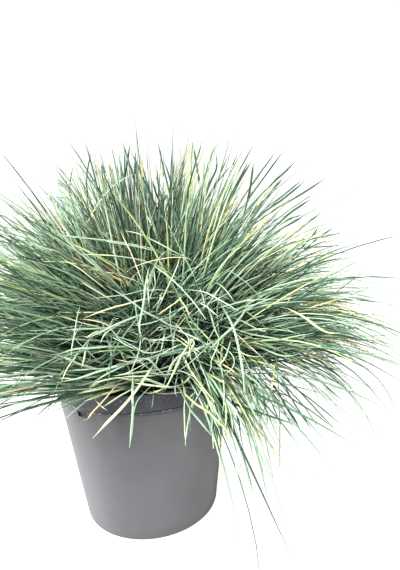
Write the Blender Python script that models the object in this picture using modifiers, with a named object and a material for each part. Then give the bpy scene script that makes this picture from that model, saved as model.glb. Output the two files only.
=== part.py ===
# Blue fescue clump growing in a round nursery pot, in metres, +Z up.
# The origin is the middle of the pot's flat underside. -Y is the front, +X the right.
# The clump is built as leaf tufts: each is a short sheath at the compost that divides
# into tapered leaves, one closed solid per tuft. Tufts keep clear of each other and of the pot.

import math
import random

import bmesh
import bpy
from mathutils import Matrix, Vector

MM = 0.001

# Pot, outside sizes
POT_HEIGHT = 122 * MM
BASE_RADIUS = 54.5 * MM
BODY_TOP_RADIUS = 68.4 * MM
COLLAR_LOW_RADIUS = 70.2 * MM
COLLAR_TOP_RADIUS = 71.4 * MM
COLLAR_HEIGHT = 14 * MM
WALL = 1.3 * MM
FLOOR = 2.2 * MM
BASE_CHAMFER = 1.4 * MM
RIM_ROUND = 0.6 * MM
POT_STEPS = 48

# Drainage holes through the pot's floor
HOLE_COUNT = 8
HOLE_RADIUS = 4.5 * MM
HOLE_CIRCLE = 42 * MM
HOLE_SIDES = 10

# Stacking lugs on the wall, just under the collar
LUG_ANGLES = (-124, -4, 116)
LUG_SIZE = (9.5 * MM, 3.8 * MM)
LUG_STANDS_OUT = 0.9 * MM
LUG_DROP = 2.0 * MM

# Compost
COMPOST_EDGE_Z = 113 * MM
COMPOST_RISE = 5 * MM
COMPOST_GAP = 0.5 * MM
COMPOST_STEPS = 32
SEAT_GAP = 0.35 * MM

# Crown of the plant: where the tufts leave the compost
CROWN_X = 15 * MM
CROWN_Y = 0 * MM
CROWN_LEAN = 5.0  # degrees that the whole clump leans to the right

# Rings of tufts: how many, distance from the crown's middle, lean from upright in degrees, leaf length
RINGS = (
    (1, 0 * MM, 3, 190 * MM),
    (6, 12 * MM, 14, 189 * MM),
    (10, 22 * MM, 27, 187 * MM),
    (14, 32 * MM, 40, 183 * MM),
    (20, 42 * MM, 52, 177 * MM),
)
INNER_HANG = 10  # degrees that the middle leaves bend over, from their start to their tip
# Degrees that the outermost leaves bend over, every 45 degrees round from the right-hand side
OUTER_HANG = (92, 60, 44, 52, 62, 56, 52, 84)
# Share of the full length that leaves have on each of those sides
SIDE_LENGTH = (0.95, 0.92, 0.97, 0.94, 0.82, 0.80, 0.76, 0.94)

# One tuft
LEAVES_PER_TUFT = 5
SHEATH_RADIUS = 2.5 * MM
SHEATH_TOP_RADIUS = 1.9 * MM
SHEATH_LENGTH = 15 * MM
LEAF_SPREAD = 5.2  # degrees between a leaf's start and the middle of its tuft
LEAF_SHARES = (0.14, 0.38, 0.62, 0.84)  # places along a leaf where its section is set
LEAF_WIDTHS = (0.74, 0.62, 0.50, 0.34)  # the section's size there, as a share of its first
TIP_STEPS = 24  # steps in which a leaf's path is added up
CLEARANCE = 1.9 * MM  # least distance between the middles of leaves of different tufts
SEED = 11


def clear_scene():
    for old in list(bpy.data.objects):
        bpy.data.objects.remove(old, do_unlink=True)


def new_collection(name):
    collection = bpy.data.collections.new(name)
    bpy.context.scene.collection.children.link(collection)
    return collection


def new_material(name, colour, roughness):
    material = bpy.data.materials.new(name)
    material.use_nodes = True
    shader = material.node_tree.nodes["Principled BSDF"]
    shader.inputs["Base Color"].default_value = (*colour, 1)
    shader.inputs["Roughness"].default_value = roughness
    shader.inputs["Metallic"].default_value = 0
    return material


def new_object(name, mesh, collection, material=None):
    made = bpy.data.objects.new(name, mesh)
    collection.objects.link(made)
    if material:
        mesh.materials.append(material)
    return made


def turned_object(name, profile, steps, collection, material):
    """A solid of revolution. The profile starts and ends on the Z axis and runs down its outer side."""
    mesh = bpy.data.meshes.new(name)
    mesh.from_pydata([(r, 0, z) for r, z in profile], [(i, i + 1) for i in range(len(profile) - 1)], [])
    made = new_object(name, mesh, collection, material)
    screw = made.modifiers.new("Turn", "SCREW")
    screw.angle = math.tau
    screw.steps = steps
    screw.render_steps = steps
    screw.use_merge_vertices = True
    screw.merge_threshold = 0.00005
    screw.use_smooth_shade = True
    return made


def helper(made):
    """A solid that only cuts or joins another."""
    made.hide_render = True
    made.display_type = "WIRE"
    return made


def add_boolean(target, other, operation):
    boolean = target.modifiers.new(other.name, "BOOLEAN")
    boolean.operation = operation
    boolean.solver = "EXACT"
    boolean.object = other


def body_radius(z):
    """Outside radius of the pot's tapered body at height z."""
    collar_z = POT_HEIGHT - COLLAR_HEIGHT
    return BASE_RADIUS + (BODY_TOP_RADIUS - BASE_RADIUS) * z / collar_z


def inner_radius(z):
    """Inside radius of the pot at height z, collar included."""
    collar_z = POT_HEIGHT - COLLAR_HEIGHT
    if z <= collar_z:
        return body_radius(z) - WALL
    share = (z - collar_z) / COLLAR_HEIGHT
    outer = COLLAR_LOW_RADIUS + (COLLAR_TOP_RADIUS - COLLAR_LOW_RADIUS) * share
    return outer - WALL - 0.4 * MM


def build_pot(collection, helpers, material):
    collar_z = POT_HEIGHT - COLLAR_HEIGHT
    profile = [
        (0, FLOOR),
        (inner_radius(FLOOR) - BASE_CHAMFER, FLOOR),
        (inner_radius(FLOOR + BASE_CHAMFER), FLOOR + BASE_CHAMFER),
        (inner_radius(collar_z - 1 * MM), collar_z - 1 * MM),
        (inner_radius(collar_z + 1 * MM), collar_z + 1 * MM),
        (inner_radius(POT_HEIGHT) + 0.1 * MM, POT_HEIGHT - RIM_ROUND),
        (inner_radius(POT_HEIGHT) + RIM_ROUND, POT_HEIGHT),
        (COLLAR_TOP_RADIUS - RIM_ROUND, POT_HEIGHT),
        (COLLAR_TOP_RADIUS, POT_HEIGHT - RIM_ROUND),
        (COLLAR_LOW_RADIUS, collar_z),
        (BODY_TOP_RADIUS, collar_z),
        (body_radius(BASE_CHAMFER), BASE_CHAMFER),
        (BASE_RADIUS - BASE_CHAMFER, 0),
        (0, 0),
    ]
    pot = turned_object("pot", profile, POT_STEPS, collection, material)

    for number in range(HOLE_COUNT):
        angle = math.tau * (number + 0.5) / HOLE_COUNT
        bpy.ops.mesh.primitive_cylinder_add(
            vertices=HOLE_SIDES,
            radius=HOLE_RADIUS,
            depth=6 * FLOOR,
            location=(HOLE_CIRCLE * math.cos(angle), HOLE_CIRCLE * math.sin(angle), 0),
        )
        cutter = helper(bpy.context.object)
        cutter.name = f"drain_cutter_{number + 1}"
        move_to(cutter, helpers)
        add_boolean(pot, cutter, "DIFFERENCE")

    for number, degrees in enumerate(LUG_ANGLES):
        angle = math.radians(degrees)
        z = collar_z - LUG_DROP - LUG_SIZE[1] / 2
        buried = 0.7 * MM
        middle = body_radius(z) + (LUG_STANDS_OUT - buried) / 2
        bpy.ops.mesh.primitive_cube_add(size=1, location=(middle * math.cos(angle), middle * math.sin(angle), z))
        lug = helper(bpy.context.object)
        lug.name = f"lug_block_{number + 1}"
        lug.data.transform(Matrix.Diagonal((LUG_STANDS_OUT + buried, *LUG_SIZE, 1)))
        lug.rotation_euler = (0, 0, angle)
        move_to(lug, helpers)
        add_boolean(pot, lug, "UNION")
    return pot


def move_to(made, collection):
    for old in list(made.users_collection):
        old.objects.unlink(made)
    collection.objects.link(made)


def compost_height(distance):
    """Height of the compost's domed top, by distance from the pot's axis."""
    share = min(1.0, distance / inner_radius(COMPOST_EDGE_Z))
    return COMPOST_EDGE_Z + COMPOST_RISE * (1 - share * share)


def build_compost(collection, material):
    low_z = FLOOR + SEAT_GAP
    collar_z = POT_HEIGHT - COLLAR_HEIGHT
    rim_r = inner_radius(COMPOST_EDGE_Z) - COMPOST_GAP
    top_rings = [rim_r * share for share in (0, 0.25, 0.5, 0.75, 1)]
    profile = [(r, compost_height(r)) for r in top_rings]
    profile += [
        (inner_radius(collar_z - 1 * MM) - COMPOST_GAP, collar_z - 1 * MM),
        (inner_radius(low_z + 2 * BASE_CHAMFER) - COMPOST_GAP, low_z + 2 * BASE_CHAMFER),
        (inner_radius(low_z) - COMPOST_GAP - 2 * BASE_CHAMFER, low_z),
        (0, low_z),
    ]
    return turned_object("compost", profile, COMPOST_STEPS, collection, material)


def by_side(values, azimuth):
    """Value for a compass direction, blended between those listed every 45 degrees."""
    place = (math.degrees(azimuth) % 360) / 360 * len(values)
    low = int(place) % len(values)
    share = place - int(place)
    share = share * share * (3 - 2 * share)
    return values[low] * (1 - share) + values[(low + 1) % len(values)] * share


def leaf_path(start, heading, length, azimuth, hang):
    """Points along a leaf that sets off in heading and bends over, by hang degrees, in the tuft's direction."""
    hinge = Vector((-math.sin(azimuth), math.cos(azimuth), 0))
    step = length / TIP_STEPS
    points = [start.copy()]
    for number in range(TIP_STEPS):
        share = (number + 0.5) / TIP_STEPS
        bent = Matrix.Rotation(math.radians(hang) * share**1.15, 3, hinge)
        points.append(points[-1] + step * (bent @ heading))
    return points


def place_on(points, share):
    """Point and direction at a share of a path's length."""
    place = share * (len(points) - 1)
    low = min(int(place), len(points) - 2)
    direction = (points[low + 1] - points[low]).normalized()
    return points[low].lerp(points[low + 1], place - low), direction


def leaning(azimuth, degrees):
    """Unit vector that leans from upright by that many degrees, with the clump's own lean added."""
    tilt = math.radians(degrees)
    direction = Vector((math.sin(tilt) * math.cos(azimuth), math.sin(tilt) * math.sin(azimuth), math.cos(tilt)))
    direction.x += math.sin(math.radians(CROWN_LEAN)) * direction.z
    return direction.normalized()


def across(direction, turn):
    """Unit vector at right angles to direction, turned round it."""
    side = direction.cross(Vector((0, 0, 1)))
    side = side.normalized() if side.length > 0.05 else Vector((1, 0, 0))
    other = direction.cross(side)
    return math.cos(turn) * side + math.sin(turn) * other


def tuft_plan(foot, azimuth, degrees, length, rng):
    """Where one tuft's sheath and leaves go: the sheath's rings, and a path for each leaf."""
    direction = leaning(azimuth, degrees)
    top = foot + direction * SHEATH_LENGTH
    bearing = math.atan2(direction.y, direction.x)
    outward = min(1.0, degrees / RINGS[-1][2])
    hang = INNER_HANG + (by_side(OUTER_HANG, bearing) - INNER_HANG) * outward**1.4
    turn = rng.uniform(0, math.tau)
    corners = [across(direction, turn + math.tau * k / LEAVES_PER_TUFT) for k in range(LEAVES_PER_TUFT)]
    paths = []
    for k in range(LEAVES_PER_TUFT):
        out = (corners[k] + corners[(k + 1) % LEAVES_PER_TUFT]).normalized()
        spread = math.radians(LEAF_SPREAD * rng.uniform(0.8, 1.1))
        start = top + out * SHEATH_TOP_RADIUS * 0.54
        heading = (direction * math.cos(spread) + out * math.sin(spread)).normalized()
        paths.append(leaf_path(start, heading, length * rng.uniform(0.84, 1.0), bearing, hang))
    return {"foot": foot, "top": top, "direction": direction, "corners": corners, "paths": paths}


def clear_of_pot(path):
    """True if a leaf passes over the rim and stays outside the wall."""
    for point in path:
        out = math.hypot(point.x, point.y)
        over_rim = inner_radius(POT_HEIGHT) - CLEARANCE < out < COLLAR_TOP_RADIUS + CLEARANCE
        if over_rim and point.z < POT_HEIGHT + CLEARANCE:
            return False
    return True


def nearest(path, others):
    """Least distance from a path's points to those of other leaves."""
    least = 1.0
    for other in others:
        for point in path:
            for there in other:
                least = min(least, (point - there).length_squared)
    return math.sqrt(least)


def plan_tufts():
    """Every tuft's plan. A tuft that would meet an earlier one, or the pot, is turned and leaned a little anew."""
    rng = random.Random(SEED)
    crown = Vector((CROWN_X, CROWN_Y, 0))
    plans = []
    for ring, (count, distance, degrees, length) in enumerate(RINGS):
        for number in range(count):
            best, best_gap = None, -1.0
            for attempt in range(20):
                wander = 1.0 + attempt / 8
                azimuth = math.tau * (number + 0.35 * ring) / count + math.radians(rng.uniform(-4, 4) * wander)
                lean = degrees + rng.uniform(-3.5, 3.5) * wander
                foot = crown + distance * Vector((math.cos(azimuth), math.sin(azimuth), 0))
                reach = max(0.0, math.hypot(foot.x, foot.y) - SHEATH_RADIUS)
                foot.z = compost_height(reach) + SEAT_GAP
                plan = tuft_plan(foot, azimuth, lean, length * by_side(SIDE_LENGTH, azimuth), rng)
                near = [p for q in plans if (q["foot"] - foot).length < 30 * MM for p in q["paths"]]
                gap = min(nearest(path, near) for path in plan["paths"])
                if not all(clear_of_pot(path) for path in plan["paths"]):
                    continue
                if gap > best_gap:
                    best, best_gap = plan, gap
                if gap > CLEARANCE:
                    break
            plans.append(best)
    return plans


def build_tuft(name, plan, collection, material):
    """A tuft as one closed mesh: the sheath's top is a fan of triangles, and a leaf grows from each."""
    bm = bmesh.new()
    count = LEAVES_PER_TUFT
    foot, top, corners = plan["foot"], plan["top"], plan["corners"]
    flat_corners = [Vector((c.x, c.y, 0)) for c in corners]
    turn = math.atan2(flat_corners[0].y, flat_corners[0].x)
    way = 1 if flat_corners[0].cross(flat_corners[1]).z > 0 else -1
    low = [
        bm.verts.new(
            foot
            + SHEATH_RADIUS
            * Vector((math.cos(turn + way * math.tau * k / count), math.sin(turn + way * math.tau * k / count), 0))
        )
        for k in range(count)
    ]
    high = [bm.verts.new(top + SHEATH_TOP_RADIUS * c) for c in corners]
    middle = bm.verts.new(top)
    bm.faces.new(low)
    for k in range(count):
        after = (k + 1) % count
        bm.faces.new((low[k], low[after], high[after], high[k]))

    for k in range(count):
        path = plan["paths"][k]
        base = [middle, high[k], high[(k + 1) % count]]
        centre = sum((v.co for v in base), Vector()) / 3
        offsets = [v.co - centre for v in base]
        heading = plan["direction"]
        ring = base
        for share, width in zip(LEAF_SHARES, LEAF_WIDTHS):
            place, onward = place_on(path, share)
            turned = heading.rotation_difference(onward)
            moved = [bm.verts.new(place + width * (turned @ offset)) for offset in offsets]
            for i in range(3):
                bm.faces.new((ring[i], ring[(i + 1) % 3], moved[(i + 1) % 3], moved[i]))
            ring = moved
        tip = bm.verts.new(path[-1])
        for i in range(3):
            bm.faces.new((ring[i], ring[(i + 1) % 3], tip))

    bmesh.ops.recalc_face_normals(bm, faces=bm.faces)
    mesh = bpy.data.meshes.new(name)
    bm.to_mesh(mesh)
    bm.free()
    return new_object(name, mesh, collection, material)


def build():
    clear_scene()
    parts = new_collection("potted_blue_fescue")
    helpers = new_collection("cutters")
    plastic = new_material("dark_grey_plastic", (0.062, 0.063, 0.068), 0.48)
    compost = new_material("dark_compost", (0.035, 0.024, 0.017), 0.95)
    leaf = new_material("blue_green_leaf", (0.23, 0.38, 0.29), 0.5)

    build_pot(parts, helpers, plastic)
    build_compost(parts, compost)
    for number, plan in enumerate(plan_tufts()):
        build_tuft(f"leaf_tuft_{number + 1:02d}", plan, parts, leaf)


build()
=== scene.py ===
import math

import bmesh
import bpy
import numpy as np
from mathutils import Matrix, Vector


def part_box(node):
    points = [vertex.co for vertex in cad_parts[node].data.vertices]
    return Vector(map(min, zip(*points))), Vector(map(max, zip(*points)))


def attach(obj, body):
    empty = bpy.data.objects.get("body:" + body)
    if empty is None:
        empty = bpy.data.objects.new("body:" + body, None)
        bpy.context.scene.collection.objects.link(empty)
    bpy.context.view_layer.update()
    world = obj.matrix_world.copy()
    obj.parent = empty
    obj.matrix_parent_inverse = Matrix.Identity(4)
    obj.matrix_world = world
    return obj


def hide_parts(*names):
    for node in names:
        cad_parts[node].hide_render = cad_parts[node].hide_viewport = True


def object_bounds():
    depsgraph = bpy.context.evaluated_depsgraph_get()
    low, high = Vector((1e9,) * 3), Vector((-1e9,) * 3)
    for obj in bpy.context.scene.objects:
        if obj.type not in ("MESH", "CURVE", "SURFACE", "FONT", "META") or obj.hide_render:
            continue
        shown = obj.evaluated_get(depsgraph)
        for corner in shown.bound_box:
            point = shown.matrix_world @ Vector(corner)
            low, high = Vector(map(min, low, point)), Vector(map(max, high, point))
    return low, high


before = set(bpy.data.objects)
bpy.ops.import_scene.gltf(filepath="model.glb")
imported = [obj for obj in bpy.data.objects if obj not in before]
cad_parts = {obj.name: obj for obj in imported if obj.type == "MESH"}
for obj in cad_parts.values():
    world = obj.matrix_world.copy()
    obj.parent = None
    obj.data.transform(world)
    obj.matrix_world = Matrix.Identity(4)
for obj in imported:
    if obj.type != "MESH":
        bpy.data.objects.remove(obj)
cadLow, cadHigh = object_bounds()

print("fescue: solids loaded", len(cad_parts))

mm = 0.001


# helpers

def linkObject(name, data):
    made = bpy.data.objects.new(name, data)
    bpy.context.scene.collection.objects.link(made)
    return made


def lookAt(thing, target):
    thing.rotation_euler = (Vector(target) - thing.location).to_track_quat("-Z", "Y").to_euler()


def smoothStep(low, high, value):
    share = np.clip((value - low) / (high - low), 0.0, 1.0)
    return share * share * (3 - 2 * share)


def bakedMesh(name, source):
    # the evaluated shape as a plain mesh, with its attributes kept
    graph = bpy.context.evaluated_depsgraph_get()
    seen = source.evaluated_get(graph)
    mesh = bpy.data.meshes.new_from_object(seen, preserve_all_data_layers=True, depsgraph=graph)
    mesh.name = name
    return mesh


def finishedMesh(name, shape):
    mesh = bpy.data.meshes.new(name)
    shape.to_mesh(mesh)
    shape.free()
    return mesh


class NodeBench:
    # adds nodes to a tree; an input is a plain value or another node's output

    def __init__(self, tree):
        self.tree = tree

    def fill(self, node, inputs):
        for key, value in inputs.items():
            if isinstance(value, bpy.types.NodeSocket):
                self.tree.links.new(value, node.inputs[key])
            else:
                node.inputs[key].default_value = value

    def add(self, kind, inputs=None, **settings):
        node = self.tree.nodes.new(kind)
        for key, value in settings.items():
            setattr(node, key, value)
        self.fill(node, inputs or {})
        return node

    def maths(self, operation, *values, clamp=False):
        node = self.add("ShaderNodeMath", dict(enumerate(values)), operation=operation, use_clamp=clamp)
        return node.outputs[0]

    def ranged(self, value, given, wanted, kind="LINEAR"):
        # the value moved from one range to another
        ends = dict(zip(("From Min", "From Max", "To Min", "To Max"), (*given, *wanted)))
        return self.add("ShaderNodeMapRange", {"Value": value, **ends}, interpolation_type=kind).outputs[0]

    def mixed(self, factor, first, second):
        colours = {"A": first, "B": second}
        for slot, colour in colours.items():
            if isinstance(colour, tuple):
                colours[slot] = (*colour, 1)
        return self.add("ShaderNodeMix", {"Factor": factor, **colours}, data_type="RGBA").outputs["Result"]

    def scaled(self, vector, factor):
        return self.add("ShaderNodeVectorMath", {0: vector, "Scale": factor}, operation="SCALE").outputs[0]

    def noise(self, where, scale, detail):
        node = self.add("ShaderNodeTexNoise", {"Scale": scale, "Detail": detail, "Vector": where})
        return node.outputs["Fac"]

    def ramp(self, factor, stops):
        node = self.add("ShaderNodeValToRGB", {"Fac": factor})
        elements = node.color_ramp.elements
        elements.remove(elements[-1])
        elements[0].position = stops[0][0]
        elements[0].color = (*stops[0][1], 1)
        for position, colour in stops[1:]:
            elements.new(position).color = (*colour, 1)
        return node.outputs["Color"]

    def bump(self, height, strength, distance):
        node = self.add("ShaderNodeBump", {"Strength": strength, "Distance": distance, "Height": height})
        return node.outputs[0]


def newFinish(name):
    finish = bpy.data.materials.new(name)
    finish.use_nodes = True
    return finish, finish.node_tree.nodes["Principled BSDF"], NodeBench(finish.node_tree)


def newTree(name, inputs):
    # a Geometry Nodes tree with its named inputs, and the bench to fill it
    tree = bpy.data.node_groups.new(name, "GeometryNodeTree")
    for socket, kind in (("Geometry", "Geometry"), *inputs):
        tree.interface.new_socket(socket, in_out="INPUT", socket_type="NodeSocket" + kind)
    tree.interface.new_socket("Geometry", in_out="OUTPUT", socket_type="NodeSocketGeometry")
    return tree, NodeBench(tree)


def endTree(bench, shape, finish):
    real = bench.add("GeometryNodeRealizeInstances", {"Geometry": shape})
    dressed = bench.add("GeometryNodeSetMaterial", {"Geometry": real.outputs["Geometry"], "Material": finish})
    bench.add("NodeGroupOutput", {"Geometry": dressed.outputs["Geometry"]})


def grownPiece(name, source, tree, values):
    # what the tree makes of the source, as a plain mesh piece; the source goes
    grow = source.modifiers.new("grow", "NODES")
    grow.node_group = tree
    for item in tree.interface.items_tree:
        if item.in_out == "INPUT" and item.name in values:
            grow[item.identifier] = values[item.name]
    mesh = bakedMesh(name, source)
    bpy.data.objects.remove(source)
    return linkObject(name, mesh)


# camera

cameraSetup = {
    "place": (0.0492, -0.351, 0.245),
    "pitchDown": 10.3,
    "roll": -2.87,
    "focalPixels": 450.0,
    "picture": (400, 570),
}


def makeCamera(setup):
    data = bpy.data.cameras.new("viewCamera")
    wide, high = setup["picture"]
    data.sensor_width = 36.0
    data.lens = setup["focalPixels"] * data.sensor_width / max(wide, high)
    data.clip_start = 0.01
    camera = linkObject("viewCamera", data)
    turn = Matrix.Rotation(math.radians(90 - setup["pitchDown"]), 4, "X")
    camera.matrix_world = (
        Matrix.Translation(setup["place"]) @ turn @ Matrix.Rotation(math.radians(setup["roll"]), 4, "Z")
    )
    bpy.context.scene.camera = camera
    return camera


camera = makeCamera(cameraSetup)
cameraTurn = np.array(camera.matrix_world.to_3x3())
cameraPlace = np.array(cameraSetup["place"])


def pictureToWorld(column, row, depth):
    # the point seen at that place in the picture, where y equals depth
    wide, high = cameraSetup["picture"]
    across = (column - wide / 2) / cameraSetup["focalPixels"]
    down = (row - high / 2) / cameraSetup["focalPixels"]
    ray = cameraTurn @ np.array([across, -down, -1.0])
    return cameraPlace + ray * (depth - cameraPlace[1]) / ray[1]


def worldToPicture(points):
    seen = (np.asarray(points) - cameraPlace) @ cameraTurn
    ahead = np.maximum(-seen[..., 2], 1e-4)
    wide, high = cameraSetup["picture"]
    column = wide / 2 + cameraSetup["focalPixels"] * seen[..., 0] / ahead
    row = high / 2 - cameraSetup["focalPixels"] * seen[..., 1] / ahead
    return column, row


# what the solids say

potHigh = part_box("pot")[1]
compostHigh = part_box("compost")[1]
tuftNames = sorted(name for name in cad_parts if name.startswith("leaf_tuft_"))

pot = {
    "height": potHigh.z,
    "rimRadius": potHigh.y,
    "collarHeight": 14 * mm,
    "collarLowRadius": 70.2 * mm,
    "bodyTopRadius": 68.4 * mm,
    "baseRadius": 54.5 * mm,
    "wall": 1.3 * mm,
    "floor": 2.2 * mm,
    "holes": 8,
    "holeRadius": 4.5 * mm,
    "holeCircle": 42 * mm,
    "steps": 160,
}
compost = {"radius": compostHigh.x, "crownZ": compostHigh.z, "rise": 5 * mm}


def compostHeight(x, y):
    share = np.minimum(1.0, np.hypot(x, y) / compost["radius"])
    return compost["crownZ"] - compost["rise"] * share * share


def middleOf(verts):
    # summed in a fixed order, so that every run gives the same last digit
    places = sorted(tuple(v.co) for v in verts)
    return sum((Vector(place) for place in places), Vector()) / len(places)


def solidLeafLines(node):
    # foot of the tuft, and the line of each of its leaves from sheath to tip
    shape = bmesh.new()
    shape.from_mesh(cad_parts[node].data)
    bmesh.ops.remove_doubles(shape, verts=shape.verts, dist=1e-5)
    crown = Vector((15 * mm, 0, compost["crownZ"]))
    near = sorted(shape.verts, key=lambda v: (v.co - crown).length)
    baseRing = set(near[:5])
    foot = middleOf(baseRing)
    lines = []
    for tip in shape.verts:
        if len(tip.link_edges) != 3 or tip in baseRing:
            continue
        layers = [[tip]]
        seen = {tip}
        while len(layers) < 6:
            onward = {e.other_vert(v) for v in layers[-1] for e in v.link_edges} - seen
            seen |= onward
            layers.append(list(onward))
        lines.append([foot] + [middleOf(layer) for layer in reversed(layers[:5])])
    shape.free()
    return np.array(foot), [np.array(line) for line in lines]


def resampled(line, count):
    # evenly spaced points on a smooth curve through a line's points
    line = np.asarray(line, float)
    ends = np.vstack([2 * line[0] - line[1], line, 2 * line[-1] - line[-2]])
    fine = []
    for a, b, c, d in zip(ends[:-3], ends[1:-2], ends[2:-1], ends[3:]):
        for share in np.linspace(0, 1, 12, endpoint=False):
            fine.append(
                0.5 * (2 * b + (c - a) * share + (2 * a - 5 * b + 4 * c - d) * share**2
                       + (3 * b - a - 3 * c + d) * share**3)
            )
    fine = np.array(fine + [line[-1]])
    run = np.concatenate([[0], np.cumsum(np.linalg.norm(np.diff(fine, axis=0), axis=1))])
    places = np.linspace(0, run[-1], count)
    return np.stack([np.interp(places, run, fine[:, k]) for k in range(3)], 1)


tufts = {}
for node in tuftNames:
    foot, lines = solidLeafLines(node)
    tufts[node] = {"foot": foot, "lines": [resampled(line, 15) for line in lines]}
print("fescue: leaf lines read,", len(tufts), "tufts", {len(t["lines"]) for t in tufts.values()})


# leaf blades

leafShape = {
    "perTuft": {"back": 122, "front": 66, "left": 98, "right": 58},
    "points": 12,
    "width": {"back": 1.32 * mm, "front": 1.4 * mm, "left": 1.45 * mm, "right": 1.4 * mm, "spread": 0.3},
    "footSpread": 9 * mm,
    "wander": {"back": 14.0, "front": 17.0, "left": 15.0, "right": 12.0},  # degrees off the tuft's own line
    "rise": 24.0,  # how much steeper a leaf leaves the compost
    "hang": {"back": -6.0, "front": -10.0, "left": -4.0, "right": 6.0, "spread": 13.0},
    "fullBend": {"back": 0.4, "front": 0.5, "left": 0.4, "right": 1.0},  # bend kept by a short leaf
    "shortest": {"back": 0.78, "front": 0.42, "left": 0.56, "right": 0.6},
    "longest": 1.1,
    "crossing": {"back": 0.14, "front": 0.72, "left": 0.34, "right": 0.22},  # leaves that cross the others
    "arched": {"share": 0.66, "lean": (4, 40), "hang": (30, 78)},  # rise, then bend over
    "low": {"lean": (46, 78), "hang": (-8, 26)},
    # leaves that stand steeper than the tuft: how many, and by what share of its lean
    "lifted": {"back": 0.4, "front": 0.05, "left": 0.66, "right": 0.15, "by": (0.2, 0.75),
               "length": (0.86, 1.12)},
    # leaves that fall over the rim at the front right
    "drape": {"perTuft": 10, "heading": (-84, 4), "lean": (40, 66), "hangAhead": (44, 86),
              "hangAside": (62, 112), "length": (112 * mm, 180 * mm), "tone": 0.34, "toneSpread": 0.12},
    # partly painted light and shade: paler on the left and right, where the light falls, darker at the back
    # and at the front, where the leaves sit in shade
    "tone": {"back": 0.13, "front": 0.22, "left": 0.45, "right": 0.36},
    "olive": {"back": 0.05, "front": 0.06, "left": 0.12, "right": 0.2},  # yellow-green leaves
    "toneSpread": {"back": 0.13, "front": 0.22, "left": 0.27, "right": 0.22},
    "crossLength": 185 * mm,
    "crossPart": (0.5, 0.98),
    "kinkShare": 0.05,
    "bluntShare": 0.12,
    "dryTips": {"share": 0.45, "by": (0.4, 1)},
    "strawTone": 0.89,
    "seed": 7,
}


def tuftSides(tuft):
    # how far a tuft stands to the front, left and right of the clump; the rest is back
    ahead = np.mean([line[-1] - line[0] for line in tuft["lines"]], axis=0)[:2]
    ahead = ahead / (np.linalg.norm(ahead) + 1e-6)
    front = float(smoothStep(24 * mm, -14 * mm, tuft["foot"][1]))
    left = float(smoothStep(0.25, 0.9, -ahead[0])) * (1 - 0.6 * front)
    right = float(smoothStep(0.25, 0.9, ahead[0])) * (1 - 0.35 * front)
    total = max(1.0, front + left + right)
    sides = {"front": front / total, "left": left / total, "right": right / total}
    sides["back"] = 1 - sum(sides.values())
    return sides


def blended(values, sides):
    return sum(values[side] * share for side, share in sides.items())


def turnMatrix(axis, angle):
    axis = axis / np.linalg.norm(axis)
    x, y, z = axis
    cross = np.array([[0, -z, y], [z, 0, -x], [-y, x, 0]])
    return np.eye(3) + math.sin(angle) * cross + (1 - math.cos(angle)) * cross @ cross


def wayAt(heading, lean):
    return np.array([math.sin(lean) * math.cos(heading), math.sin(lean) * math.sin(heading), math.cos(lean)])


def raised(ways, share):
    # steps turned towards the vertical by a share of their lean
    turned = []
    for way in ways:
        lean = math.acos(float(np.clip(way[2], -1, 1)))
        turned.append(turnMatrix(np.array([-way[1], way[0], 1e-6]), -lean * share) @ way)
    return np.array(turned)


def clearOfPot(points):
    # lifts a leaf over the rim, and keeps what hangs outside off the wall
    points = points.copy()
    out = np.hypot(points[:, 0], points[:, 1])
    shares = np.linspace(0, 1, len(points))
    rimInside = pot["rimRadius"] - 4 * mm
    rimOutside = pot["rimRadius"] + 1.0 * mm
    over = (out > rimInside) & (out < rimOutside + 2 * mm)
    low = pot["height"] + 1.2 * mm - points[:, 2]
    if (over & (low > 0)).any():
        first = np.argmax(over & (low > 0))
        points[:, 2] += low[over].max() * smoothStep(0, max(shares[first], 0.1), shares)
    inside = out < rimInside
    ground = compostHeight(points[:, 0], points[:, 1]) + 0.6 * mm
    points[:, 2] = np.where(inside & (shares > 0.08), np.maximum(points[:, 2], ground), points[:, 2])
    beside = (points[:, 2] < pot["height"] + 1 * mm) & (out >= rimInside)
    push = np.where(beside, np.maximum(out, rimOutside) / np.maximum(out, 1e-6), 1.0)
    points[:, 0] *= push
    points[:, 1] *= push
    return points


def insideBox(points, slack=14 * mm):
    low = np.array(cadLow) - slack
    high = np.array(cadHigh) + slack
    return ((points >= low) & (points <= high)).all()


def leafFromWays(foot, ways, length, bends, sways):
    # walks from the foot, each step bent down and swung sideways by its own angle
    points = [np.array([foot[0], foot[1], compostHeight(foot[0], foot[1]) - 1.0 * mm])]
    for way, bend, sway in zip(ways, bends, sways):
        flat = math.hypot(way[0], way[1]) + 1e-6
        way = turnMatrix(np.array([-way[1], way[0], 0]) / flat, bend) @ way
        way = turnMatrix(np.array([0, 0, 1.0]), sway) @ way
        points.append(points[-1] + way * length / len(ways))
    return np.array(points)


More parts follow.
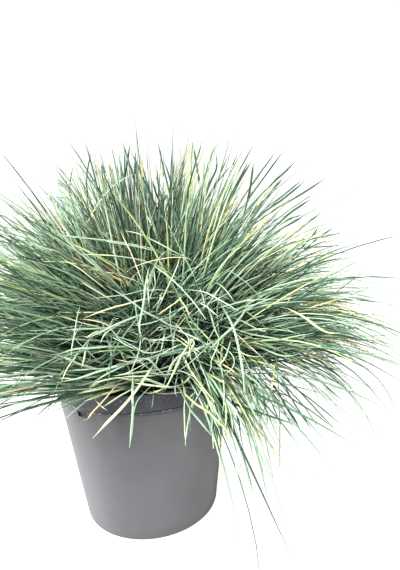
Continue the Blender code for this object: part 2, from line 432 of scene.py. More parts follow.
def grownLeaf(tuft, random, shape, sides):
    # one leaf: most follow one of the tuft's lines, the others cross them
    count = shape["points"] - 1
    shares = (np.arange(count) + 0.5) / count
    lines = tuft["lines"]
    first, second = random.choice(len(lines), 2, replace=False)
    share = random.random() ** 1.5
    line = lines[first] * (1 - share) + lines[second] * share
    steps = np.diff(line, axis=0)
    sizes = np.linalg.norm(steps, axis=1)
    ways = steps / sizes[:, None]
    short = blended(shape["shortest"], sides)
    part = short + (shape["longest"] - short) * random.random() ** 0.8
    length = sizes.sum() * part
    if random.random() < blended(shape["crossing"], sides):
        # those at the front fall towards the viewer, over their neighbours
        own = math.atan2(ways[3][1], ways[3][0])
        heading = -math.pi / 2 if random.random() < sides["front"] else own
        heading += math.radians(random.normal() * 52)
        kind = shape["arched"] if random.random() < shape["arched"]["share"] else shape["low"]
        lean = math.radians(random.uniform(*kind["lean"]))
        ways = np.tile(wayAt(heading, lean), (count, 1))
        length = shape["crossLength"] * random.uniform(*shape["crossPart"])
        hang = math.radians(random.uniform(*kind["hang"]))
        sway = math.radians(random.normal() * 16)
        rise = 0.0
    else:
        axis = random.normal(size=3)
        turn = turnMatrix(axis, random.normal() * math.radians(blended(shape["wander"], sides)))
        used = part + (1 - part) * blended(shape["fullBend"], sides)
        place = np.minimum(shares * used, 1) * (len(ways) - 1)
        ways = np.stack([np.interp(place, np.arange(len(ways)), ways[:, k]) for k in range(3)], 1) @ turn.T
        ways /= np.linalg.norm(ways, axis=1)[:, None]
        hang = math.radians(blended(shape["hang"], sides) + random.normal() * shape["hang"]["spread"])
        sway = math.radians(random.normal() * 10)
        lean = math.acos(min(1.0, max(0.0, ways[0][2])))
        rise = math.radians(shape["rise"]) * lean / math.radians(52)
        lifted = shape["lifted"]
        if random.random() < blended(lifted, sides):
            ways = raised(ways, random.uniform(*lifted["by"]))
            length = sizes.sum() * random.uniform(*lifted["length"])
    bends = hang * shares**1.3 - rise * np.maximum(0, 1 - shares / 0.5) ** 1.5
    sways = sway * shares
    if random.random() < shape["kinkShare"]:
        past = shares > random.uniform(0.35, 0.8)
        kink = math.radians(random.uniform(25, 85))
        bends = bends + kink * past
        sways = sways + kink * random.normal() * 0.6 * past
    foot = tuft["foot"][:2] + random.normal(size=2) * shape["footSpread"] * 0.5
    return leafFromWays(foot, ways, length, bends, sways)


def drapedLeaf(tuft, random, shape):
    # one leaf that rises a little, then hangs over the rim
    drape = shape["drape"]
    count = shape["points"] - 1
    shares = (np.arange(count) + 0.5) / count
    aside = random.random() ** 1.4
    heading = math.radians(drape["heading"][0] + (drape["heading"][1] - drape["heading"][0]) * aside)
    lean = math.radians(random.uniform(*drape["lean"]))
    ways = np.tile(wayAt(heading, lean), (count, 1))
    least = np.interp(aside, (0, 1), (drape["hangAhead"][0], drape["hangAside"][0]))
    most = np.interp(aside, (0, 1), (drape["hangAhead"][1], drape["hangAside"][1]))
    bends = math.radians(random.uniform(least, most)) * shares**1.2
    sways = math.radians(random.normal() * 9) * shares
    foot = tuft["foot"][:2] + random.normal(size=2) * shape["footSpread"] * 0.5
    return leafFromWays(foot, ways, random.uniform(*drape["length"]), bends, sways)


def leafWidths(count, width, bluntTip=False):
    shares = np.linspace(0, 1, count)
    taper = (0.82 + 0.18 * smoothStep(0, 0.25, shares)) * (1 - 0.45 * shares**2.4)
    end = 1 - 0.45 * smoothStep(0.9, 1, shares) if bluntTip else 1 - 0.9 * smoothStep(0.78, 1.02, shares)
    return 0.5 * width * taper * end


def leafTone(random, middle=0.28, spread=0.18, olive=0.06):
    # 0 deep blue-green, 0.35 grey-green, 0.6 pale mint, 0.8 yellow-green, 0.9 straw, 1 rust
    pick = random.random()
    if pick < 0.04:
        return random.uniform(0.84, 0.95)
    if pick < 0.04 + olive:
        return random.uniform(0.66, 0.80)
    return float(np.clip(random.normal(middle, spread), 0.0, 0.6))


leafStrips = {"start": 0.08, "wide": 0.84}  # each leaf's strip of the map


def lineMesh(name, leaves):
    # each leaf as a chain of edges that carries what the blade tree reads
    places, edges, values = [], [], {k: [] for k in ("halfWidth", "roll", "along", "tone", "strip")}
    for number, leaf in enumerate(leaves):
        start = len(places)
        count = len(leaf["points"])
        shares = np.linspace(0, 1, count)
        places += leaf["points"].tolist()
        edges += [(start + k, start + k + 1) for k in range(count - 1)]
        values["halfWidth"] += leaf["halfWidths"].tolist()
        values["roll"] += (leaf["roll"] + leaf["twist"] * shares).tolist()
        values["along"] += shares.tolist()
        values["tone"] += (leaf["tone"] + np.zeros(count)).tolist()
        values["strip"] += [(number + leafStrips["start"]) / len(leaves)] * count
    mesh = bpy.data.meshes.new(name)
    mesh.from_pydata(places, edges, [])
    for key, listed in values.items():
        mesh.attributes.new(key, "FLOAT", "POINT").data.foreach_set("value", listed)
    return mesh


def makeBladeTree():
    tree, bench = newTree("bladeAlongLine", (
        ("Sides", "Int"), ("Thickness", "Float"), ("Fold", "Float"), ("Strip Width", "Float"),
        ("Finish", "Material"),
    ))
    given = bench.add("NodeGroupInput").outputs

    def named(attribute):
        node = bench.add("GeometryNodeInputNamedAttribute", {"Name": attribute}, data_type="FLOAT")
        return node.outputs["Attribute"]

    def onDomain(domain, value):
        node = bench.add("GeometryNodeFieldOnDomain", {"Value": value}, domain=domain, data_type="FLOAT")
        return node.outputs[0]

    def stored(shape, attribute, value, domain, kind="FLOAT"):
        inputs = {"Geometry": shape, "Name": attribute, "Value": value}
        node = bench.add("GeometryNodeStoreNamedAttribute", inputs, domain=domain, data_type=kind)
        return node.outputs["Geometry"]

    curve = bench.add("GeometryNodeMeshToCurve", {"Mesh": given["Geometry"]}).outputs["Curve"]
    tilted = bench.add("GeometryNodeSetCurveTilt", {"Curve": curve, "Tilt": named("roll")}).outputs["Curve"]

    # section: a flattened ring folded along its middle
    ring = bench.add("GeometryNodeCurvePrimitiveCircle", mode="RADIUS")
    bench.fill(ring, {"Resolution": given["Sides"], "Radius": 1.0})
    here = bench.add("GeometryNodeInputPosition").outputs[0]
    parts = bench.add("ShaderNodeSeparateXYZ", {0: here}).outputs
    thin = bench.maths("MULTIPLY", parts["Y"], given["Thickness"])
    folded = bench.maths("MULTIPLY", bench.maths("ABSOLUTE", parts["X"]), given["Fold"])
    place = bench.add("ShaderNodeCombineXYZ", {"X": parts["X"], "Y": bench.maths("ADD", thin, folded)})
    flat = bench.add("GeometryNodeSetPosition", {
        "Geometry": ring.outputs["Curve"], "Position": place.outputs[0],
    })
    ringShare = bench.add("GeometryNodeSplineParameter").outputs["Factor"]
    section = stored(flat.outputs["Geometry"], "around", ringShare, "POINT")
    blade = bench.add("GeometryNodeCurveToMesh", {
        "Curve": tilted, "Scale": named("halfWidth"), "Profile Curve": section, "Fill Caps": True,
    })

    # the last face of each ring closes at 1, not back at 0
    onCorner = onDomain("CORNER", named("around"))
    step = bench.maths("SUBTRACT", onDomain("FACE", named("around")), onCorner)
    wraps = bench.maths("GREATER_THAN", step, 0.25)
    across = stored(blade.outputs["Mesh"], "across", bench.maths("ADD", onCorner, wraps), "CORNER")
    side = bench.maths("ADD", named("strip"), bench.maths("MULTIPLY", named("across"), given["Strip Width"]))
    mapPlace = bench.add("ShaderNodeCombineXYZ", {"X": side, "Y": named("along")})
    mapped = stored(across, "leafMap", mapPlace.outputs[0], "CORNER", "FLOAT2")
    smooth = bench.add("GeometryNodeSetShadeSmooth", {"Geometry": mapped}).outputs["Geometry"]
    endTree(bench, smooth, given["Finish"])
    return tree


bladeTree = makeBladeTree()


def bladesFromLines(name, leaves, finish, sides=5, thickness=0.6, fold=0.25):
    drawn = linkObject(name + "_lines", lineMesh(name + "_lines", leaves))
    return grownPiece(name, drawn, bladeTree, {
        "Sides": sides, "Thickness": thickness, "Fold": fold, "Strip Width": leafStrips["wide"] / len(leaves),
        "Finish": finish,
    })


# finishes

leafFinish = {
    "tones": (
        (0.00, (0.012, 0.040, 0.018)),
        (0.18, (0.038, 0.090, 0.049)),
        (0.38, (0.168, 0.254, 0.166)),
        (0.60, (0.345, 0.448, 0.328)),
        (0.645, (0.480, 0.545, 0.350)),
        (0.69, (0.300, 0.380, 0.170)),
        (0.80, (0.470, 0.490, 0.220)),
        (0.88, (0.560, 0.500, 0.340)),
        (0.95, (0.430, 0.290, 0.130)),
        (1.00, (0.140, 0.075, 0.045)),
    ),
    "mottle": 90,
    "mottleTone": 0.08,
    "foot": (0.34, 0.30, 0.17),
    "footPart": 0.14,
    "footCover": 0.75,
    "deepShade": 0.14,
    "deepPart": (0.08, 0.6),
    "ribs": 5,
    "ribShade": (0.86, 1.10),
    "ribDepth": 0.35,
    "roughness": 0.50,
    "specular": 0.42,
    "sheen": 0.1,
}


def makeLeafFinish(setup):
    finish, shader, bench = newFinish("fescueLeaf")
    tone, along, across = (
        bench.add("ShaderNodeAttribute", attribute_name=name).outputs["Fac"]
        for name in ("tone", "along", "across")
    )
    where = bench.add("ShaderNodeTexCoord").outputs["Object"]
    mottle = bench.noise(where, setup["mottle"], 3)
    # tone wanders a little along each leaf
    shift = bench.maths("MULTIPLY_ADD", mottle, setup["mottleTone"], -setup["mottleTone"] / 2)
    colour = bench.ramp(bench.maths("ADD", tone, shift, clamp=True), setup["tones"])
    # pale, slightly tan foot
    cover = bench.ranged(along, (0.0, setup["footPart"]), (setup["footCover"], 0.0))
    colour = bench.mixed(cover, colour, setup["foot"])
    # fine ribs along the blade, with painted light on their crests and painted shade in their grooves
    wave = bench.maths("COSINE", bench.maths("MULTIPLY", across, math.tau * setup["ribs"]))
    paintedRibShade = bench.ranged(wave, (-1, 1), setup["ribShade"])
    # painted shade low in the clump, where the inner leaves sit in shade; it also stands for older, darker
    # growth
    depth = bench.ranged(along, setup["deepPart"], (setup["deepShade"], 1.0), "SMOOTHSTEP")
    bench.fill(shader, {
        "Base Color": bench.scaled(colour, bench.maths("MULTIPLY", paintedRibShade, depth)),
        "Normal": bench.bump(wave, setup["ribDepth"], 0.08 * mm),
        "Roughness": bench.ranged(mottle, (0, 1), (setup["roughness"] - 0.08, setup["roughness"] + 0.14)),
        "Specular IOR Level": setup["specular"],
        "Sheen Weight": setup["sheen"],
        "Sheen Roughness": 0.4,
        "Sheen Tint": (0.85, 1.0, 0.92, 1),
    })
    return finish


leafMaterial = makeLeafFinish(leafFinish)


# tufts

# where the picture shows the collar bare: columns, and the lowest row that leaves reach there
frontOpening = {
    "columns": (58, 70, 82, 100, 130, 172, 190, 204),
    "rows": (418, 407, 400, 394, 390, 390, 396, 408),
    "keepShare": 0.0,
}


def crossesCollar(points):
    column, row = worldToPicture(points)
    limit = np.interp(column, frontOpening["columns"], frontOpening["rows"])
    inside = (column > frontOpening["columns"][0]) & (column < frontOpening["columns"][-1])
    return bool((inside & (row > limit)).any())


# how near the viewer the grown leaves come in parts of the picture, behind the traced ones
nearLimits = (
    {"columns": (58, 236), "rows": (285, 392), "nearest": (-76 * mm, -90 * mm), "keepShare": 0.0},
    {"columns": (58, 236), "rows": (222, 285), "nearest": (-46 * mm, -74 * mm), "keepShare": 0.05},
    {"columns": (236, 400), "rows": (250, 368), "nearest": (-40 * mm, -80 * mm), "keepShare": 0.0},
    {"columns": (246, 400), "rows": (368, 412), "nearest": (-84 * mm, -104 * mm), "keepShare": 0.1},
    {"columns": (286, 400), "rows": (382, 412), "nearest": (-58 * mm, -58 * mm), "keepShare": 0.0},
    # thinner growth, at any depth
    {"columns": (284, 400), "rows": (366, 500), "nearest": (1, 1), "keepShare": 0.34},
    {"columns": (112, 143), "rows": (0, 182), "nearest": (1, 1), "keepShare": 0.5},
    {"columns": (143, 171), "rows": (0, 188), "nearest": (1, 1), "keepShare": 0.25},
    {"columns": (198, 230), "rows": (0, 186), "nearest": (1, 1), "keepShare": 0.5},
    {"columns": (250, 345), "rows": (0, 212), "nearest": (1, 1), "keepShare": 0.35},
    {"columns": (284, 345), "rows": (212, 262), "nearest": (1, 1), "keepShare": 0.5},
)


def tooNear(points, random):
    column, row = worldToPicture(points)
    give = random.normal() * 11 * mm  # keeps the limit from showing as an edge
    for limit in nearLimits:
        inside = (column > limit["columns"][0]) & (column < limit["columns"][1])
        inside &= (row > limit["rows"][0]) & (row < limit["rows"][1])
        if (inside & (points[:, 1] < np.interp(row, limit["rows"], limit["nearest"]) + give)).any():
            return random.random() >= limit["keepShare"]
    return False


def growTuft(tuft, random, shape):
    leaves = []
    sides = tuftSides(tuft)
    wanted = int(blended(shape["perTuft"], sides))
    draped = shape["drape"]["perTuft"] if tuft["foot"][0] > 12 * mm and tuft["foot"][1] < 12 * mm else 0
    tries = 0
    while len(leaves) < wanted + draped and tries < 14 * wanted:
        tries += 1
        hangs = len(leaves) >= wanted
        leaf = drapedLeaf(tuft, random, shape) if hangs else grownLeaf(tuft, random, shape, sides)
        points = clearOfPot(leaf)
        if not insideBox(points):
            continue
        if crossesCollar(points[2:]) and random.random() > frontOpening["keepShare"]:
            continue
        if tooNear(points[2:], random):
            continue
        width = blended(shape["width"], sides) * (1 + shape["width"]["spread"] * random.uniform(-1, 1))
        middle = shape["drape"]["tone"] if hangs else blended(shape["tone"], sides)
        spread = shape["drape"]["toneSpread"] if hangs else blended(shape["toneSpread"], sides)
        tone = leafTone(random, middle, spread, blended(shape["olive"], sides))
        shares = np.linspace(0, 1, len(points))
        tipDry = (random.random() < shape["dryTips"]["share"]) * random.uniform(*shape["dryTips"]["by"])
        leaves.append({
            "points": points,
            "halfWidths": leafWidths(len(points), width, random.random() < shape["bluntShare"]),
            "roll": random.uniform(0, math.tau),
            "twist": random.normal() * 1.2,
            "tone": tone + (shape["strawTone"] - tone) * smoothStep(0.92, 1.0, shares) * tipDry,
        })
    return leaves


random = np.random.default_rng(leafShape["seed"])
bladeCount = 0
for node in tuftNames:
    leaves = growTuft(tufts[node], random, leafShape)
    bladeCount += len(leaves)
    piece = bladesFromLines(node.replace("leaf_tuft", "tuft_leaves"), leaves, leafMaterial)
    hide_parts(node)
    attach(piece, "root")
print("fescue: leaves grown", bladeCount)


# leaves traced from the picture

# each: columns and rows from its lower end to its tip, depth at both ends, width in pixels, tone; a tone
# takes in the light and shade on that leaf as well as its colour, so it is partly painted light and shade
tracedLeaves = {
    "strawStem": (((167, 386.5), (172, 376), (177, 364.5), (182, 355), (190, 342)),
                  (-96, -114), 2.9, 0.645),
    "strawStemHead": (((189, 345), (192, 340), (195.5, 337.8)), (-112, -116), 2.2, 0.645),
    "stemNode": (((159, 390.8), (163.5, 388.6), (169, 385.5)), (-94, -96), 3.0, 0.74),
    "paleHook": (((150.6, 349), (150.2, 344), (148.2, 340), (145.3, 338.2), (142.8, 340), (142, 343.5)),
                 (-92, -104), 1.8, 0.63),
    "overRimBroad": (((150.5, 370), (141, 384), (131, 397.5), (120, 410), (109, 421), (93, 438)),
                     (-100, -166), 4.3, 0.64),
    "overRimUpright": (((133, 379), (132.3, 395), (132.8, 410), (131.5, 428), (129.5, 448)),
                       (-102, -164), 3.9, 0.61),
    "overRimCurl": (((150, 387), (140, 397), (135.5, 405), (134, 414)), (-92, -128), 2.4, 0.58),
    "overRimShort": (((153.6, 393), (152.8, 401), (151.6, 408.5)), (-88, -112), 1.7, 0.58),
    "overRimTan": (((114, 388.5), (106, 398), (100, 404.5), (92.5, 412.5), (88, 418.5), (83, 421)),
                   (-92, -132), 2.5, 0.9),
    "overRimThin": (((131, 390), (120, 396), (110, 402.5), (102.5, 407)), (-96, -122), 2.1, 0.645),
    "rimStub": (((94.5, 398), (99, 404), (107, 410.5)), (-78, -98), 1.3, 0.87),
    "leftHangPale": (((90, 396), (85, 402), (78, 408), (70, 415), (63, 422)), (-84, -122), 2.6, 0.6),
    "rimArcTan": (((182, 393.5), (164, 395.2), (148, 392.6)), (-70, -82), 1.5, 0.87),
    "rightOfRimPale": (((185.5, 394), (184.5, 408), (185, 428), (185.8, 446)), (-100, -158), 2.6, 0.64),
    "rightOfRimWhite": (((192, 405), (190, 413), (188.3, 421), (187, 430), (185, 444)),
                        (-112, -156), 2.6, 0.6),
    "rightOfRimGreen": (((180, 388), (186, 401), (192, 411.5), (200, 421), (212, 436)),
                        (-94, -156), 4.0, 0.44),
    "longYellow": (((180, 389), (187, 396), (196, 404), (203, 408.3), (210, 413.3), (217, 420), (230, 434)),
                   (-92, -160), 4.0, 0.76),
    "yellowAcross": (((202, 387), (195, 393), (186.5, 400)), (-86, -104), 2.2, 0.8),
    "yellowDown": (((187, 364.5), (191.5, 372.5), (196.5, 379.5), (202, 387), (208.5, 394.7),
                    (215.5, 402.7)),
                   (-90, -128), 2.8, 0.79),
    "orangeDown": (((185, 359), (191, 371), (199.5, 383.5)), (-72, -98), 2.4, 0.84),
    "mintShortDown": (((178, 373), (175.2, 388), (176.6, 397)), (-84, -104), 2.2, 0.57),
    "mintPastRim": (((202, 388.5), (197, 398.5), (192, 409.5)), (-92, -118), 2.5, 0.58),
    "broadMintDown": (((204, 371), (212, 379), (218, 388), (224, 397), (230, 404), (236, 411), (242, 424)),
                      (-90, -146), 4.8, 0.55),
    "mintBesideBroad": (((219, 360), (222, 371), (224, 386), (224.3, 400), (222.4, 414)),
                        (-92, -134), 2.9, 0.6),
    "yellowStub": (((213, 376.5), (219, 380), (226, 384)), (-82, -94), 2.4, 0.78),
    "yellowGreenDown": (((207.5, 389), (208.3, 403), (205.8, 417)), (-94, -126), 2.2, 0.72),
    "innerYellowGreen": (((200, 364), (207, 380), (212, 396)), (-78, -112), 2.6, 0.6),
    "crossMintRight": (((208, 352), (221.5, 337.5), (233, 327), (243, 314), (247.7, 305)),
                       (-84, -112), 3.0, 0.56),
    "longMintRight": (((225.5, 312), (233, 327), (238, 345), (243, 373), (244, 392)),
                      (-74, -142), 3.2, 0.53),
    "thinStemRight": (((237.5, 335), (248, 345), (261, 356)), (-84, -112), 1.4, 0.875),
    "stemBranch": (((243.5, 341), (246, 337.5), (248, 334.5)), (-88, -92), 1.2, 0.88),
    "tealArcRight": (((234, 329), (250, 334), (265, 336.8), (285, 340)), (-74, -98), 2.6, 0.48),
    "paleTipRight": (((243, 321.5), (255, 328), (267.5, 332.8)), (-72, -92), 1.8, 0.57),
    "mintArcRight": (((262, 348), (278, 354.5), (288, 356), (297.5, 354.3)), (-70, -96), 2.3, 0.55),
    "tanArcRight": (((243, 354), (253, 356.5), (265, 356.4)), (-84, -98), 1.4, 0.84),
    "mintFromCentre": (((200, 291), (208, 293.3), (220, 300), (230, 305.5), (238.5, 311.5)),
                       (-78, -110), 2.6, 0.58),
    "whiteShortCentre": (((206, 306.3), (211, 310.5), (217, 315.8)), (-92, -108), 1.8, 0.63),
    "whiteShortUpright": (((203, 297), (204.3, 303), (204, 309)), (-96, -106), 1.7, 0.63),
    "mintUpperRight": (((223.5, 287.5), (229, 294), (234, 301.3)), (-78, -96), 1.8, 0.57),
    "mintUpperShort": (((214.5, 295), (218, 290), (222, 285)), (-84, -78), 2.0, 0.55),
    "greenTipRight": (((243, 311), (258, 303.5), (270, 299), (281, 294)), (-66, -78), 2.0, 0.5),
    "pinkTipRight": (((226, 306), (240, 302.5), (250, 299), (258, 294.6)), (-70, -82), 1.8, 0.6),
    "orangeRight": (((286, 306), (288.5, 301), (290.8, 294.5)), (-40, -44), 2.3, 0.91),
    "yellowFarRight": (((306, 318), (318, 327), (328, 332.5), (341, 333)), (-68, -80), 2.8, 0.76),
    "yellowFarRightLow": (((302, 316), (314, 325), (322, 331)), (-70, -80), 2.0, 0.86),
    "greenCrossLow": (((150, 369), (137, 357.5), (121, 341), (108, 325.5)), (-84, -92), 2.4, 0.58),
    "bundleBroad": (((160, 355), (145, 359.5), (130, 363.3), (115, 367), (104, 370.3), (93, 373.5),
                     (84, 377), (72, 380), (56, 383)),
                    (-84, -112), 3.4, 0.6),
    "bundleSecond": (((140, 359), (126, 365), (113, 371), (104, 375.5), (96, 381), (88, 383.6), (77, 386)),
                     (-84, -104), 2.2, 0.6),
    "paleTipDown": (((130, 371), (126, 362), (119.5, 350.5)), (-88, -100), 2.0, 0.56),
    "greenPale": (((163, 319), (151, 323), (139, 325.3), (132, 325)), (-84, -98), 2.0, 0.6),
    "longDiagonal": (((198, 330), (177, 327.5), (167, 324), (157, 318), (145, 312), (133, 303), (119, 293),
                      (105, 285)),
                     (-62, -92), 2.3, 0.6),
    "uprightMint": (((147, 276), (145, 287), (144, 300), (142, 311), (140, 321), (139.6, 329),
                     (141.7, 336.5)),
                    (-72, -124), 2.2, 0.57),
    "leftUprightThin": (((77, 318), (74.3, 335), (72.3, 345), (71, 357)), (-78, -98), 1.8, 0.56),
    "tealFlat": (((124, 347), (110, 346.6), (95, 347.8), (80, 348.6), (70, 350.3), (56, 355.5)),
                 (-76, -100), 3.2, 0.52),
    "tealWide": (((123, 350.5), (114, 356), (105, 362), (96.5, 368.5)), (-82, -94), 4.6, 0.22),
    "greenLeftDown": (((98, 369.5), (88, 366.8), (78, 363.6), (70, 360), (56, 354.5)),
                      (-90, -106), 3.0, 0.58),
    "strawLeft": (((79, 352), (74, 359), (69, 365.5), (65, 372.5), (61, 383)), (-90, -110), 2.4, 0.87),
    "tanLeftLow": (((128, 381.5), (113, 386), (99, 389.3), (80, 393.5)), (-68, -96), 2.0, 0.84),
    "tanLeftUpper": (((115, 379), (101, 381.5), (90, 388)), (-72, -88), 1.8, 0.86),
    "mintLeftRim": (((97, 394), (85, 397.6), (72, 401.2), (56, 406.5)), (-76, -110), 3.8, 0.6),
    "paleLeftRim": (((92, 391), (79, 394.5), (58, 398.8)), (-74, -104), 2.8, 0.88),
    "whiteMintLeft": (((114, 327.5), (106, 333), (103, 337), (100.3, 343)), (-86, -100), 2.3, 0.6),
    "longGreenLeft": (((142, 314.5), (127, 320), (113, 326), (99, 333), (86.5, 338)),
                      (-70, -100), 2.5, 0.58),
    "flatGreenLeft": (((114, 326.5), (105, 328), (82, 329.2), (61, 330.3)), (-66, -86), 2.3, 0.56),
    "greenYellowLeft": (((99, 327), (82, 323), (67, 318), (56, 315.5)), (-62, -74), 2.9, 0.66),
    "strawLineLeft": (((97, 312.4), (77, 312.6), (57, 312)), (-58, -70), 1.7, 0.875),
    "pinkLineLeft": (((141, 300), (125, 304.5), (113, 307.5), (97, 313), (84, 318.3)),
                     (-66, -88), 1.8, 0.875),
    "tanThinLeft": (((112, 330.5), (107, 325), (95, 321), (80, 319)), (-76, -84), 1.4, 0.86),
    "paleLineLeft": (((143, 290.5), (127, 294.5), (109, 296.8), (90, 298.6)), (-58, -74), 2.1, 0.63),
    "shortWhite": (((117.2, 335.5), (119, 331.5), (121.2, 327.8)), (-88, -90), 1.5, 0.63),
    "paleUprightCentre": (((171, 327), (170, 316), (171, 304.5)), (-90, -92), 2.1, 0.57),
    "tanHookCentre": (((170, 306.5), (176, 302.3), (180.5, 298), (181.5, 295.5), (178.5, 295)),
                      (-88, -94), 1.7, 0.83),
    "yellowShortCentre": (((184, 304.5), (186.5, 309), (189.3, 315.5)), (-94, -104), 1.7, 0.77),
    "greenShortCentre": (((174.5, 314.5), (181, 309), (190.5, 303.5)), (-84, -92), 2.0, 0.52),
    "curlCentre": (((156.5, 329.5), (159, 327.2), (162, 327.6), (162, 330), (159.5, 330.6)),
                   (-86, -90), 1.5, 0.66),
    "paleShortA": (((153.5, 352.5), (157, 346.5), (160.2, 340), (162.5, 338.4)), (-96, -104), 1.3, 0.62),
    "paleShortB": (((155.4, 366), (157.5, 359), (159.6, 353)), (-98, -102), 1.9, 0.61),
    "whiteFlatLow": (((166, 387), (153, 385.6), (141, 384), (134, 383)), (-98, -108), 2.4, 0.64),
    "mintFlatLow": (((165, 386), (156, 382.6), (148, 379.6), (140, 378.2)), (-96, -106), 3.2, 0.635),
    "creamFlatLow": (((143, 381.2), (131, 380.6), (118.5, 377)), (-72, -84), 2.8, 0.7),
    "mintBundleA": (((162, 373.5), (157, 368), (152, 362.4), (148, 359.3), (142, 358.6)),
                    (-96, -106), 3.4, 0.62),
    "mintBundleB": (((161, 375.5), (151, 369.5), (142, 363), (134, 356)), (-92, -102), 2.6, 0.6),
    "frayA": (((110.5, 323.5), (112.5, 320), (114.5, 317)), (-88, -92), 1.5, 0.65),
    "frayB": (((113, 322), (115.5, 319), (119, 318.5)), (-88, -92), 1.3, 0.65),
    "frayC": (((159.5, 299.5), (160.5, 296), (162.3, 291)), (-86, -88), 1.8, 0.64),
    "frayD": (((160, 300), (162, 297.5), (161.2, 302)), (-88, -92), 1.5, 0.64),
    "rightFlatA": (((203, 351), (195, 358.3), (187, 365), (177.5, 371.5)), (-94, -110), 2.0, 0.61),
    "crossUpperLeftA": (((178, 256), (141, 246), (103, 240), (60, 236)), (-40, -62), 1.9, 0.56),
    "crossUpperLeftB": (((170, 274), (149, 262.5), (114, 256), (81, 254)), (-46, -64), 2.0, 0.7),
    "crossUpperLeftC": (((190, 259.5), (175, 252), (156, 242), (138, 233)), (-40, -56), 2.0, 0.6),
    "limeAcrossBack": (((92, 214), (103, 197), (115, 185), (127, 177), (135, 174)), (-14, 2), 1.3, 0.665),
    "yellowTipLeft": (((88, 205), (80, 190), (73, 176)), (-6, 12), 2.2, 0.7),
    "yellowTipMiddle": (((168, 193), (161, 173), (156.5, 163)), (0, 20), 2.2, 0.69),
    "yellowTipHigh": (((190, 185), (189.3, 160), (187.5, 142.5)), (0, 26), 1.8, 0.68),
    "tanBackLeft": (((150, 222), (141, 205), (135, 191)), (-4, 10), 2.2, 0.86),
    "orangeBack": (((154, 228), (146, 211), (137, 192)), (10, 22), 2.0, 0.88),
    "orangeUprightBack": (((203, 268), (201.5, 240), (199, 208)), (0, 12), 2.2, 0.84),
    "deadBrown": (((113, 272), (106, 267), (101, 262.5)), (-64, -70), 3.4, 0.99),
    "deadBrownLow": (((109, 274), (104, 271), (100, 270)), (-66, -70), 2.6, 0.98),
    "strawUpperLeft": (((120, 272), (96, 262), (74, 250)), (-30, -44), 1.5, 0.87),
    "yellowGreenBack": (((262, 246), (262, 228), (266, 208)), (10, 24), 2.2, 0.72),
    "tealWideEdge": (((119.5, 352), (110, 358.3), (100.3, 365)), (-94, -100), 1.3, 0.56),
    "greenIntoStraw": (((91, 338), (86, 343.5), (81, 349), (75.5, 356), (70, 362)), (-86, -102), 3.2, 0.55),
    "thinCrossLeft": (((73, 337), (80, 344), (88, 351), (95, 358.3), (100, 363)), (-88, -98), 1.2, 0.5),
    "creamShortDown": (((85.6, 350.5), (84.4, 357), (82.8, 364), (81.3, 368)), (-94, -104), 1.8, 0.645),
    "thinGreyLeft": (((108, 352.5), (100, 357.8), (91, 362.5), (84, 366)), (-88, -100), 1.3, 0.46),
    "tanLineMiddle": (((137, 350.3), (119, 350.3), (108, 350.6), (98, 352), (88, 355)),
                      (-84, -94), 1.3, 0.8),
    "mintOffCross": (((120, 341.5), (129, 346.5), (137.5, 350.6)), (-96, -102), 1.9, 0.62),
    "greyOffCross": (((122, 338), (130, 340.5), (138, 342.8)), (-90, -96), 1.9, 0.52),
    "paleArcUpperLeft": (((92, 334), (87, 337), (82, 335.5)), (-90, -96), 1.8, 0.64),
    "leftLongMint": (((57.7, 235.3), (82, 237.7), (115, 242.9), (142.5, 247.8), (166.6, 254.6)),
                     (-40, -70), 1.7, 0.52),
    "creamLong": (((137, 379.5), (127, 379), (117.5, 377.6), (105, 380), (95, 382.8), (88.5, 387.5)),
                  (-94, -108), 2.0, 0.645),
    "greyBandLow": (((118, 381), (108, 384.3), (98, 388), (89, 390)), (-88, -98), 2.1, 0.54),
    "oliveOnRim": (((115, 391.5), (104, 394.3), (94, 397.8), (84, 401.6)), (-84, -98), 3.6, 0.68),
    "limeOnRim": (((104, 387), (93, 390), (84, 391.8), (77, 393.4)), (-92, -104), 2.2, 0.66),
    "bandPaleA": (((151, 371), (138, 372.5), (126, 374.2), (113, 376)), (-92, -104), 2.6, 0.62),
    "bandPaleB": (((150, 376), (136, 376.5), (122, 377)), (-94, -106), 2.0, 0.645),
    "leftPaleFlat": (((101, 368.6), (90, 369.2), (79, 370), (68, 370.3)), (-94, -106), 1.7, 0.62),
    "leftDiagonal": (((74, 356), (64, 361), (56, 365.8)), (-86, -96), 1.7, 0.6),
    "leftStrawShort": (((68, 368), (61.5, 373.3), (56.5, 377)), (-90, -98), 1.3, 0.85),
    "leftMintLow": (((86, 378), (74, 379.3), (66, 378.6), (56, 378)), (-92, -102), 2.6, 0.64),
    "leftLimeLow": (((80, 384), (68, 387.5), (56, 389)), (-84, -96), 2.0, 0.68),
    "pinkShortLeft": (((127, 361.6), (121, 360.5), (116.5, 359.2)), (-98, -102), 1.2, 0.885),
    "limeSpeckLeft": (((119, 350.5), (124.5, 354.3), (130, 356)), (-92, -96), 1.6, 0.7),
    "thinToLeftFork": (((142, 358.5), (131, 357.4), (123, 356.5)), (-92, -98), 1.4, 0.6),
    "mintTopLeftFork": (((76, 333), (73.5, 338), (66, 342), (57, 345.5)), (-82, -94), 1.6, 0.55),
    "mintThinDown": (((195.5, 354), (199.5, 363), (202.5, 370.5), (208, 382)), (-96, -112), 1.9, 0.61),
    "broadGreenBeside": (((205, 374), (211, 384.5), (219, 397.5)), (-86, -118), 3.8, 0.47),
    "hookRight": (((227, 350), (232, 355), (234.3, 361), (233, 366.5), (230, 370.6), (224, 376)),
                  (-94, -108), 1.8, 0.6),
    "crossTeal": (((227.5, 351), (224.5, 358.5), (218.5, 366)), (-96, -104), 2.2, 0.57),
    "flatCrossRight": (((199, 361), (210, 365.5), (220, 368.6), (230, 371.8), (240, 376.5)),
                       (-90, -108), 1.8, 0.52),
    "thinHookRight": (((215.5, 351), (211.3, 361), (211.3, 367), (208.3, 374)), (-98, -106), 1.5, 0.57),
    "greenDownA": (((209, 392), (213, 405), (215.5, 416), (220, 434)), (-98, -142), 2.8, 0.5),
